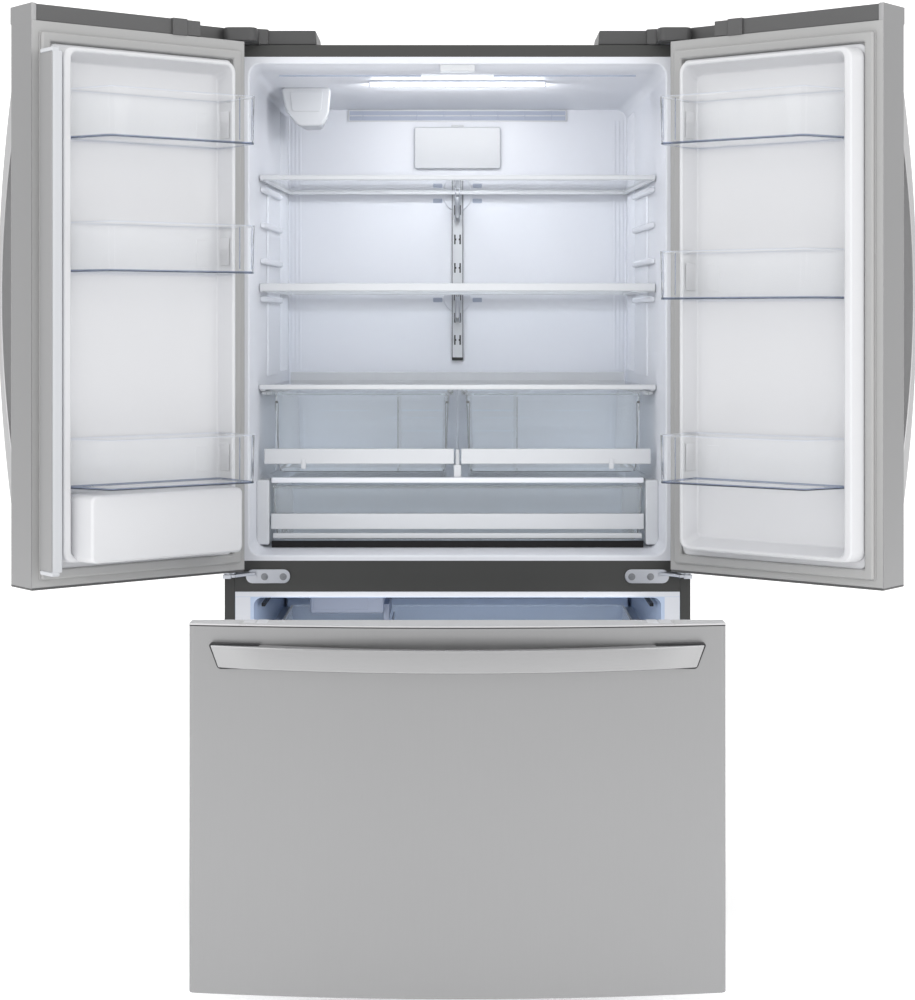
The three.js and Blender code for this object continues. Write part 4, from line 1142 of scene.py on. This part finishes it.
class RefrigeratorFreezer(bpy.types.Operator):
    """Build the ice maker, the freezer tray and the evaporator's cover"""

    bl_idname = "refrigerator.freezer"
    bl_label = "Build Freezer Inside"

    def execute(self, context):
        low, high = cad_mm("ice_maker")
        y0, y1 = low.y - FRONT, high.y - FRONT
        parts = [
            block(low.x, high.x - 10, y0, y1, 604, 656, 5, 3),
            block(low.x + 6, high.x - 40, y0 - 1, y0 + 6, 612, 648, 2),
            block(high.x - 12, high.x, y0 + 30, y1 - 20, 586, 620, 2),
        ]
        # the ice maker uses the painted-shade grey for the shade under the freezer ceiling
        fixed("ice_maker_case", joined(*parts), "painted_shade_grey", ["ice_maker"])
        # painted shadow: black strips under the front of the freezer ceiling and along its side
        # walls, where only shade is seen
        slot = block(-140, 247, 22, 25, 655.5, 659, 0.4)
        grooves = both_sides(lambda: block(380.5, 388, 60, 480, 634, 641, 1))
        fixed("freezer_painted_shadow_lines", joined(slot, grooves), "black_moulding")
        wall = context.scene.refrigerator_sizes.clear_wall / MM
        low, high = cad_mm("freezer_tray")
        outline = rectangle(-366, 366, low.y - FRONT, high.y - FRONT)
        finished("freezer_tray_box", draw_clear_box(outline, low.z, high.z, wall, 18, 0.975),
                 CABINET, "freezer_tray", "drawer_clear_plastic", ["freezer_tray"])
        rails = both_sides(lambda: block(365, 383, 70, 500, 566, 573, 1.5))
        divider = block(-141, -138, 68, 512, 453, 560, 1)
        finished("freezer_tray_rails", joined(rails, divider), CABINET, "freezer_tray",
                 "white_trim")
        panel = rounded(prism(rectangle(-377, 377, 335, 649), "y", 545, 549, 13), 1)
        ribs = [block(-300 + i * 75, -296 + i * 75, 543.8, 546, 360, 540, 0.6) for i in range(9)]
        # the evaporator panel takes the freezer's painted-shade blue
        fixed("evaporator_panel", joined(panel, *ribs), "freezer_shaded_plastic", ["evaporator_cover"])
        return {"FINISHED"}


# ---- doors ----
def thickness(x):
    """Door thickness at a distance from the cabinet's middle."""
    return DOOR_THICK - DOOR_BOW * (x / HALF) ** 2


def door_outline(u0, u1, less=0.0, steps=14, back=None):
    """A door's section from above between two distances from the pivot."""
    back = INNER - less if back is None else back

    def front(u):
        return INNER - thickness(PIVOT_X - u) + less
    points = [(u0, back)]
    for index in range(steps + 1):
        u = u0 + (u1 - u0) * index / steps
        points.append((u, front(u)))
    points.append((u1, back))
    return points


def round_uprights(bm, radius_hinge, radius_free):
    """Rounds the front's two upright edges by their own radii."""
    bm.normal_update()
    for pick, radius in ((min, radius_hinge), (max, radius_free)):
        edges = [e for e in sharp_edges(bm, 45) if e.verts[0].co.y < INNER - 30
                 and abs((e.verts[0].co - e.verts[1].co).normalized().z) > 0.9]
        if not edges:
            return bm
        x = pick(e.verts[0].co.x for e in edges)
        chosen = [e for e in edges if abs(e.verts[0].co.x - x) < 1]
        bmesh.ops.bevel(bm, geom=chosen, offset=radius, segments=5, profile=0.5, affect="EDGES",
                        material=-1, clamp_overlap=True)
        bm.normal_update()
    return bm


def draw_bow_bar(half, end_height, middle_height, width, base, slant):
    """A bowed bar along x that stands on its two ends; z runs across it and -y is its height.

    base(x) is the height of the surface under it, and slant is how much shorter its low side is.
    """
    bm = bmesh.new()
    foot = half * 0.83
    steps = 28
    points = []
    for index in range(steps + 1):
        t = -1 + 2 * index / steps
        points.append((t * half, end_height + (middle_height - end_height) * (1 - t * t)))
    for index in range(4):
        x = half - (half - foot) * index / 3
        points.append((x, base(x)))
    low = base(foot)
    for index in range(1, steps):
        t = 1 - 2 * index / steps
        points.append((t * foot, low + (middle_height - 15 - low) * (1 - t * t)))
    for index in range(3, -1, -1):
        x = half - (half - foot) * index / 3
        points.append((-x, base(x)))
    bm.faces.new([bm.verts.new((x, -h, -width / 2)) for x, h in points])
    drawn = bmesh.ops.extrude_face_region(bm, geom=bm.faces[:])
    bmesh.ops.translate(bm, vec=(0, 0, width), verts=moved_verts(drawn))
    recalculated(bm)
    for v in bm.verts:
        if abs(v.co.x) > foot:
            share = (abs(v.co.x) - foot) / (half - foot)
            lowness = 0.5 - v.co.z / width
            v.co.x -= math.copysign(slant * share * lowness, v.co.x)
    rounded(bm, 2.6, 3, 50)
    return bm


class RefrigeratorDoors(bpy.types.Operator):
    """Build both doors: steel front, inner liner, gasket, caps and handle"""

    bl_idname = "refrigerator.doors"
    bl_label = "Build Doors"

    def execute(self, context):
        for name, side in SIDES:
            body = f"{name}_door"
            place = door_place(side)
            finished(f"{name}_door_front", self.front(), place, body, "brushed_stainless",
                     [f"{name}_door_skin"])
            finished(f"{name}_door_inner", self.inner(context, side < 0), place, body,
                     "door_liner_plastic", [f"{name}_door_core"])
            finished(f"{name}_door_frame", self.back_frame(), place, body, "frame_grey")
            finished(f"{name}_door_seal", self.seal(), place, body, "gasket_rubber",
                     [f"{name}_door_gasket"])
            finished(f"{name}_door_top_cap", self.top_cap(), place, body, "trim_plastic",
                     [f"{name}_door_cap"])
            finished(f"{name}_door_top_wrap", self.wrap(), place, body, "brushed_stainless")
            finished(f"{name}_door_foot_cap", self.foot_cap(), place, body, "trim_plastic")
            finished(f"{name}_door_pull", self.pull(), place, body, "door_handle_lit_steel",
                     [f"{name}_door_handle"])
        return {"FINISHED"}

    def front(self):
        shell = prism(door_outline(HINGE_EDGE, FREE_EDGE), "z", DOOR_BOTTOM + 4, DOOR_TOP)
        round_uprights(shell, 9, 5)
        return rounded(shell, 0.8, 2, 50)

    def back_frame(self):
        """Grey return flange of the steel round the gasket."""
        outline = rectangle(HINGE_EDGE + 1.5, FREE_EDGE - 1.5, DOOR_BOTTOM + 5, DOOR_TOP - 1)
        return rounded(ring(outline, "y", INNER - 1, INNER + 0.35, 34), 0.3, 2)

    def seal(self):
        outline = rectangle(-1.5, 421.5, 735.5, 1716.5)
        base = rounded(ring(outline, "y", INNER + 0.3, INNER + 4, 19), 1, 2)
        bulb = ring(rectangle(-0.5, 420.5, 736.5, 1715.5), "y", INNER + 3, INNER + 11.9, 17)
        return joined(base, rounded(bulb, 4, 4))

    def inner(self, context, pod):
        radius = context.scene.refrigerator_sizes.liner_round / MM
        sheet = prism(rectangle(16.5, 403.5, 752.5, 1696.5), "y", INNER - 1, INNER + 5, 12)
        rounded(sheet, 2.2, 3)
        ridge = prism(rectangle(34, 403, 765, 1690), "y", INNER + 3, INNER + 50, 20)
        top = [v for v in ridge.verts if v.co.y > INNER + 49]
        bmesh.ops.scale(ridge, vec=(0.98, 1, 0.993), verts=top,
                        space=Matrix.Translation((-180, 0, -1224)))
        ridge.normal_update()
        face = face_toward(ridge, (0, 1, 0))
        bmesh.ops.inset_region(ridge, faces=[face], thickness=7, use_even_offset=True)
        rim = face.verts[:]
        verts = drawn_face(ridge, face).verts[:]
        for v in [*verts, *rim]:
            if v.co.x > 250:
                v.co.x -= 8
        for v in verts:
            v.co.x += 6 if v.co.x < 250 else -9
            v.co.z += -14 if v.co.z > 1224 else 14
        bmesh.ops.translate(ridge, vec=(0, -44.5, 0), verts=verts)
        recalculated(ridge)
        rounded(ridge, radius * 0.5, 3, 40)
        parts = [sheet, ridge]
        if pod:
            block_shape = prism(rectangle(49.5, 384, 768, 889), "y", INNER + 4, INNER + 94, 12)
            front = [v for v in block_shape.verts if v.co.y > INNER + 90 and v.co.x > 300]
            bmesh.ops.translate(block_shape, vec=(-18, 0, 0), verts=front)
            rounded(block_shape, 5, 4, 40)
            parts.append(block_shape)
        return joined(*parts)

    def top_cap(self):
        """Dark cap set in the top of the steel, with two raised latch blocks beside the hinge."""
        low = DOOR_TOP + 0.3
        high = CAP_TOP - 0.2
        cap = prism(door_outline(83, FREE_EDGE - WRAP - 0.3, 2), "z", low, high - 1)
        rounded(cap, 1.2, 2, 50)
        outer = block(114, 146, INNER - 30, INNER + 3.5, low - 1.2, high, 1.2)
        inner = block(84, 112.5, INNER - 26, INNER + 0.5, low + 0.6, high - 1.5, 1.2)
        wall_plan = [(3, INNER - thickness(PIVOT_X - 3) + 1.5), (3, -15.8), (84, -15.8),
                     (84, INNER - thickness(PIVOT_X - 84) + 1.5)]
        wall = rounded(prism(wall_plan, "z", low, high - 1), 0.6, 2)
        return joined(cap, outer, inner, wall)

    def wrap(self):
        """Steel carried up past the cap at the free edge."""
        plan = door_outline(FREE_EDGE - WRAP, FREE_EDGE, steps=2)
        shell = prism(plan, "z", DOOR_TOP - 0.5, CAP_TOP)
        return rounded(shell, 0.8, 2, 50)

    def foot_cap(self):
        outline = door_outline(HINGE_EDGE + 1, FREE_EDGE - 1, 1)
        return rounded(prism(outline, "z", DOOR_BOTTOM, DOOR_BOTTOM + 4.2), 1, 2, 50)

    def pull(self):
        low, high = cad_mm("left_door_handle")
        middle = (low.z + high.z) / 2
        half = (high.z - low.z) / 2
        u0 = FREE_EDGE - 12 - 38
        face = INNER - thickness(PIVOT_X - u0) - 0.2
        bow = draw_bow_bar(half, 11, 75, 38, lambda x: 0.2, 14)
        upright = Matrix(((0, 0, 1, u0 + 19), (0, 1, 0, face), (1, 0, 0, middle), (0, 0, 0, 1)))
        return placed(bow, upright)


class RefrigeratorBins(bpy.types.Operator):
    """Build the three clear bins of each door and the nubs that hold them"""

    bl_idname = "refrigerator.bins"
    bl_label = "Build Door Bins"

    def execute(self, context):
        wall = context.scene.refrigerator_sizes.clear_wall / MM
        for name, side in SIDES:
            place = door_place(side)
            body = f"{name}_door"
            nubs = []
            for level in LEVELS:
                node = f"{name}_{level}_bin"
                z = cad_mm(node)[0].z
                finished(f"{node}_tray", self.tray(z, wall), place, body, "bin_clear_plastic",
                         [node])
                finished(f"{node}_foot", self.foot(z), place, body, "clear_edge")
                finished(f"{node}_rim", self.rim(z), place, body, "rim_plastic")
                finished(f"{node}_ribs", self.ribs(z), place, body, "clear_edge")
                nubs.append(block(72, 98, INNER + 4, INNER + 6.3, z + 16, z + 66, 1))
                nubs.append(block(47.5, 49.8, INNER + 14, INNER + 44, z + 18, z + 70, 1))
            finished(f"{name}_bin_nubs", joined(*nubs), place, body, "door_liner_plastic")
        return {"FINISHED"}

    def plan(self, less=0.0):
        """A bin from above: its front steps back to the liner at the free side."""
        return [(46 + less, INNER + 8 + less), (385 - less, INNER + 8 + less),
                (345 - less, INNER + 121.5 - less), (46 + less, INNER + 134.5 - less)]

    def tray(self, z, wall):
        return draw_clear_box(self.plan(0.3), z, z + 89.7, wall, 9, 0.985, 1.4)

    def rim(self, z):
        """The bright lip that runs round the top; its brightness is partly a painted glow that
        stands for the highlight along it.
        """
        return rounded(ring(self.plan(0.1), "z", z + 88, z + 90, 3.4, 9), 0.6, 1, 50)

    def ribs(self, z):
        """Upright ribs at the front corner of the hinge side and at the free end."""
        parts = []
        # their darker tint paints in part the dark lines the bin shows at its ribs
        for u, w in ((50, 126), (78, 127), (381, 15), (375, 30)):
            parts.append(block(u - 0.6, u + 0.6, INNER + w - 2, INNER + w, z + 8, z + 86, 0.3, 1))
        return joined(*parts)

    def foot(self, z):
        """The thick lower edge, which catches the light; its darker tint paints in part the dark
        line the bin shows along its foot.
        """
        bm = ring(self.plan(1.6), "z", z + 0.1, z + 4.4, 4, 8)
        return rounded(bm, 0.8, 1, 50)


class RefrigeratorFlap(bpy.types.Operator):
    """Build the flap that closes the gap between the doors"""

    bl_idname = "refrigerator.flap"
    bl_label = "Build Mullion Flap"

    def execute(self, context):
        place = door_place(-1) @ Matrix.Translation((423 * MM, (INNER + 19) * MM, 0))
        low, high = cad_mm("mullion_flap")
        steel = block(2.2, 4.5, -3.2, 40.2, low.z + 8.5, high.z - 8.5, 0.8)
        finished("flap_steel_face", steel, place, "mullion_flap", "flap_steel")
        body = [block(-17, 2.4, -4, 41, low.z + 6, high.z - 6, 2.2, 3),
                block(-12, 4.4, -4, 41, low.z, low.z + 8, 2.4, 3),
                block(-12, 4.4, -4, 41, high.z - 8, high.z, 2.4, 3)]
        finished("flap_body", joined(*body), place, "mullion_flap", "white_trim",
                 ["mullion_flap"])
        arms = [block(-21, 3, -3.4, 3.4, z - 14, z + 14, 1.5) for z in (880, 1215, 1550)]
        finished("flap_hinge_arms", joined(*arms), place, "left_door", "white_trim")
        return {"FINISHED"}


# ---- freezer drawer ----
class RefrigeratorDrawer(bpy.types.Operator):
    """Build the freezer drawer with its front, liner, seal, handle, basket and rails"""

    bl_idname = "refrigerator.drawer"
    bl_label = "Build Freezer Drawer"

    def execute(self, context):
        body = "freezer_drawer"
        finished("drawer_front", self.front(), DRAWER, body, "brushed_stainless", ["drawer_skin"])
        finished("drawer_inner", self.inner(context), DRAWER, body, "door_liner_plastic",
                 ["drawer_core"])
        finished("drawer_back_frame", self.back_frame(), DRAWER, body, "frame_grey")
        finished("drawer_seal", self.seal(), DRAWER, body, "gasket_rubber", ["drawer_gasket"])
        finished("drawer_top_caps", self.top_caps(), DRAWER, body, "cap_grey")
        finished("drawer_top_clips", both_sides(lambda: joined(
            block(322, 340, -46, -4, DRAWER_TOP - 3, DRAWER_TOP, 0.8),
            block(343, 363, -40, -4, DRAWER_TOP - 3, DRAWER_TOP, 0.8))), DRAWER, body,
                 "door_liner_plastic")
        seam = prism(self.outline(1.2), "z", DRAWER_TOP - 4.6, DRAWER_TOP - 2.9)
        finished("drawer_top_seam", seam, DRAWER, body, "black_moulding")
        finished("drawer_top_strip", self.top_strip(), DRAWER, body, "cap_grey")
        # the seats' black paints in part the shadow line round the handle's ends
        finished("drawer_pull_shadow_seats", self.pull_seats(), DRAWER, body, "black_moulding")
        finished("drawer_pull", self.pull(), DRAWER, body, "handle_steel", ["drawer_handle"])
        self.basket(body)
        return {"FINISHED"}

    def outline(self, less=0.0, steps=28):
        half = HALF - less
        points = [(-half, -less)]
        for index in range(steps + 1):
            x = half * (-1 + 2 * index / steps)
            points.append((x, less - thickness(x)))
        points.append((half, -less))
        return points

    def front(self):
        shell = prism(self.outline(), "z", DRAWER_BOTTOM, DRAWER_TOP - 4.4)
        shell.normal_update()
        uprights = [e for e in sharp_edges(shell, 45) if e.verts[0].co.y < -30
                    and abs((e.verts[0].co - e.verts[1].co).normalized().z) > 0.9]
        bmesh.ops.bevel(shell, geom=uprights, offset=9, segments=5, profile=0.5, affect="EDGES",
                        material=-1, clamp_overlap=True)
        shell.normal_update()
        return rounded(shell, 0.9, 2, 50)

    def top_caps(self):
        def cap():
            points = [(366, -6)]
            for index in range(7):
                x = 366 + (HALF - 0.5 - 366) * index / 6
                points.append((x, 0.6 - thickness(x)))
            points.append((HALF - 0.5, -6))
            return rounded(prism(points, "z", DRAWER_TOP - 3.1, DRAWER_TOP), 1, 2, 50)
        return both_sides(cap)

    def top_strip(self):
        points = [(-366, -6)]
        for index in range(21):
            x = 366 * (-1 + 2 * index / 20)
            points.append((x, 0.6 - thickness(x)))
        points.append((366, -6))
        return rounded(prism(points, "z", DRAWER_TOP - 3.1, DRAWER_TOP - 0.5), 0.8, 2, 50)

    def back_frame(self):
        outline = rectangle(2 - HALF, HALF - 2, DRAWER_BOTTOM + 2, DRAWER_TOP - 4)
        return rounded(ring(outline, "y", -1, 0.35, 34), 0.3, 2)

    def seal(self):
        base = rounded(ring(rectangle(-423.5, 423.5, 92.5, 665.5), "y", 0.3, 4, 19), 1, 2)
        bulb = rounded(ring(rectangle(-422.5, 422.5, 93.5, 664.5), "y", 3, 11.9, 17), 4, 4)
        return joined(base, bulb)

    def inner(self, context):
        radius = context.scene.refrigerator_sizes.liner_round / MM
        panel = prism(rectangle(-395, 395, 119, 651), "y", -1, 21.5, 14)
        hollowed(panel, 34, (0, 1, 0), 12)
        rounded(panel, radius * 0.6, 3, 40)
        return panel

    def pull(self):
        crown = thickness(0)
        half = (cad_mm("drawer_handle")[1].x - cad_mm("drawer_handle")[0].x) / 2
        end = 18 - crown + thickness(half)
        middle = (cad_mm("drawer_handle")[0].z + cad_mm("drawer_handle")[1].z) / 2
        bow = draw_bow_bar(half, end, 53, 38.5, lambda x: 0.2 + thickness(x) - crown, 14)
        return placed(bow, Matrix.Translation((0, -crown, middle)))

    def pull_seats(self):
        """Dark seats round the ends of the handle; their black also paints the shadow line round
        the ends.
        """
        low, high = cad_mm("drawer_handle")
        reach = high.x + 2.2

        def seat():
            points = [(reach - 88, low.z - 1.6), (reach - 16, low.z - 2), (reach, high.z + 2),
                      (reach - 88, high.z + 1.8)]
            base = prism(points, "y", -71, -46, 5)
            far = [v for v in base.verts if v.co.x < reach - 60 and v.co.y < -60]
            bmesh.ops.translate(base, vec=(0, -6, 0), verts=far)
            return rounded(base, 0.8, 2, 50)
        return both_sides(seat)

    def basket(self, body):
        low, high = cad_mm("freezer_basket")
        outline = rectangle(-366, 366, 40, 480)
        finished("basket_box", draw_clear_box(outline, low.z, high.z, 3, 20, 0.97, 3), DRAWER,
                 body, "white_trim", ["freezer_basket"])

        def side():
            return joined(
                block(370, 374, 23, 500, 402, 438, 1),
                block(374, 381, 23, 500, 402, 406, 1),
                block(374, 381, 23, 500, 434, 438, 1),
                block(376, 380, 23, 470, 410, 430, 1),
                block(356, 381, 22.5, 26, 131, 449, 1),
                block(367, 371, 60, 480, 432, 436, 0.8))
        brace = block(-380, 380, 22.5, 26, 131, 146, 1)
        finished("basket_rails", joined(both_sides(side), brace), DRAWER, body, "zinc_plate",
                 ["drawer_rails"])


class RefrigeratorWorks(bpy.types.Operator):
    """Give the working parts inside the machine room and behind the panels their finishes"""

    bl_idname = "refrigerator.works"
    bl_label = "Finish Working Parts"

    def execute(self, context):
        finishes = {
            "compressor": "black_enamel", "condenser": "black_enamel",
            "evaporator": "fin_aluminium", "condenser_fan": "black_moulding",
            "evaporator_fan": "black_moulding", "rear_roller_left": "black_moulding",
            "rear_roller_right": "black_moulding", "upper_hinge_left": "zinc_plate",
            "upper_hinge_right": "zinc_plate", "freezer_liner": "freezer_shaded_plastic",
        }
        for node, material in finishes.items():
            mesh = frame["nodes"][node].data
            mesh.materials.clear()
            mesh.materials.append(finish(material))
        return {"FINISHED"}


# ---- stage ----
SENSOR = 36
FOCAL_SHARE = 2.038
CAMERA_DISTANCE = 3.972
EYE_HEIGHT = 1.194
CAMERA_SHIFT = -0.1765
FLOOR_GLOW = 0.34
FRONT_SHARE = 0.55
GLOW_POWER = 0.95
FREEZER_SHARE = 0.38


class RefrigeratorStage(bpy.types.Operator):
    """Set the floor and backdrop, the soft lights and the camera"""

    bl_idname = "refrigerator.stage"
    bl_label = "Set Stage"

    def execute(self, context):
        studio = context.scene.refrigerator_studio
        self.camera(context)
        self.sweep(studio)
        self.lights(context, studio)
        scene = context.scene
        scene.view_settings.view_transform = "Standard"
        scene.view_settings.look = "None"
        scene.world = scene.world or bpy.data.worlds.new("Surround")
        scene.world.use_nodes = True
        backdrop = scene.world.node_tree.nodes["Background"]
        backdrop.inputs["Color"].default_value = (1, 1, 1, 1)
        backdrop.inputs["Strength"].default_value = studio.world
        return {"FINISHED"}

    def camera(self, context):
        """A level camera in front of the cabinet, framed by its shift."""
        data = bpy.data.cameras.new("Camera")
        camera = bpy.data.objects.new("Camera", data)
        context.scene.collection.objects.link(camera)
        data.sensor_width = SENSOR
        data.lens = SENSOR * FOCAL_SHARE
        data.shift_y = CAMERA_SHIFT
        camera.location = (0, FRONT * MM - CAMERA_DISTANCE, EYE_HEIGHT)
        camera.rotation_euler = (math.pi / 2, 0, 0)
        context.scene.camera = camera

    def sweep(self, studio):
        """Floor that curves up into a backdrop."""
        bm = bmesh.new()
        points = [(-4.0, 0.0), (2.2, 0.0)]
        radius = 1.2
        for index in range(1, 9):
            angle = math.pi / 2 * index / 8
            points.append((2.2 + radius * math.sin(angle), radius * (1 - math.cos(angle))))
        points.append((2.2 + radius, 5.0))
        verts = [bm.verts.new((-6, y, z)) for y, z in points]
        edges = [bm.edges.new(pair) for pair in zip(verts, verts[1:])]
        drawn = bmesh.ops.extrude_edge_only(bm, edges=edges)
        bmesh.ops.translate(bm, vec=(12, 0, 0), verts=moved_verts(drawn))
        bm.normal_update()
        bmesh.ops.reverse_faces(bm, faces=[f for f in bm.faces if f.normal.z - f.normal.y < 0])
        mesh = bpy.data.meshes.new("sweep")
        bm.to_mesh(mesh)
        bm.free()
        mesh.shade_smooth()
        floor = bpy.data.objects.new("sweep", mesh)
        bpy.context.scene.collection.objects.link(floor)
        paint = grained("sweep_paint", moulded_grain(), studio.floor, 0.0,
                        size=40, contrast=0.004, roughness=0.9, spread=0.02)
        mesh.materials.append(one_sided(glowing(paint, (1, 1, 1), FLOOR_GLOW)))

    def lights(self, context, studio):
        def panel(name, place, aim, size, power):
            data = bpy.data.lights.new(name, "AREA")
            data.shape = "RECTANGLE"
            data.size, data.size_y = size
            data.energy = power
            light = bpy.data.objects.new(name, data)
            context.scene.collection.objects.link(light)
            light.location = place
            direction = Vector(aim) - Vector(place)
            light.rotation_euler = direction.to_track_quat("-Z", "Y").to_euler()
        power = studio.key_power
        panel("soft_left", (-3.2, -3.4, 2.4), (0, 0, 1.0), (2.2, 2.6), power)
        panel("soft_right", (3.2, -3.4, 2.4), (0, 0, 1.0), (2.2, 2.6), power)
        panel("soft_front", (0, -4.6, 2.9), (0, 0, 1.0), (3.0, 1.4), power * FRONT_SHARE)
        panel("cabinet_glow", (0, FRONT * MM + 0.17, 1.664), (0, FRONT * MM + 0.5, 1.6),
              (0.36, 0.03), GLOW_POWER)
        mouth = FRONT * MM - 0.02
        panel("mouth_fill", (0, mouth, 1.23), (0, mouth + 1, 1.23), (0.76, 0.92), studio.fill_power)
        panel("freezer_fill", (0, mouth, 0.62), (0, mouth + 1, 0.5), (0.7, 0.06),
              studio.fill_power * FREEZER_SHARE)


# ---- add-on ----
class RefrigeratorPanel(bpy.types.Panel):
    """Shows the refrigerator's settings and the buttons that build it"""

    bl_idname = "VIEW3D_PT_refrigerator"
    bl_label = "Refrigerator"
    bl_space_type = "VIEW_3D"
    bl_region_type = "UI"
    bl_category = "Refrigerator"

    def draw(self, context):
        layout = self.layout
        for group in ("sizes", "colours", "studio"):
            settings = getattr(context.scene, f"refrigerator_{group}")
            box = layout.box()
            for item in settings.bl_rna.properties:
                if item.identifier not in ("rna_type", "name"):
                    box.prop(settings, item.identifier)
        for operator in OPERATORS:
            layout.operator(operator.bl_idname)


OPERATORS = (
    RefrigeratorCase, RefrigeratorHinges, RefrigeratorLiners, RefrigeratorBackWall,
    RefrigeratorShelves, RefrigeratorCrispers, RefrigeratorFreezer, RefrigeratorDoors,
    RefrigeratorBins, RefrigeratorFlap, RefrigeratorDrawer, RefrigeratorWorks, RefrigeratorStage,
)
SETTINGS = (RefrigeratorSizes, RefrigeratorColours, StudioSettings)


def register():
    for item in (*SETTINGS, *OPERATORS, RefrigeratorPanel):
        bpy.utils.register_class(item)
    scene = bpy.types.Scene
    scene.refrigerator_sizes = bpy.props.PointerProperty(type=RefrigeratorSizes)
    scene.refrigerator_colours = bpy.props.PointerProperty(type=RefrigeratorColours)
    scene.refrigerator_studio = bpy.props.PointerProperty(type=StudioSettings)


def unregister():
    scene = bpy.types.Scene
    del scene.refrigerator_sizes
    del scene.refrigerator_colours
    del scene.refrigerator_studio
    for item in reversed((*SETTINGS, *OPERATORS, RefrigeratorPanel)):
        bpy.utils.unregister_class(item)


def main():
    register()
    for operator in OPERATORS:
        group, name = operator.bl_idname.split(".")
        getattr(getattr(bpy.ops, group), name)()


if __name__ == "__main__":
    main()
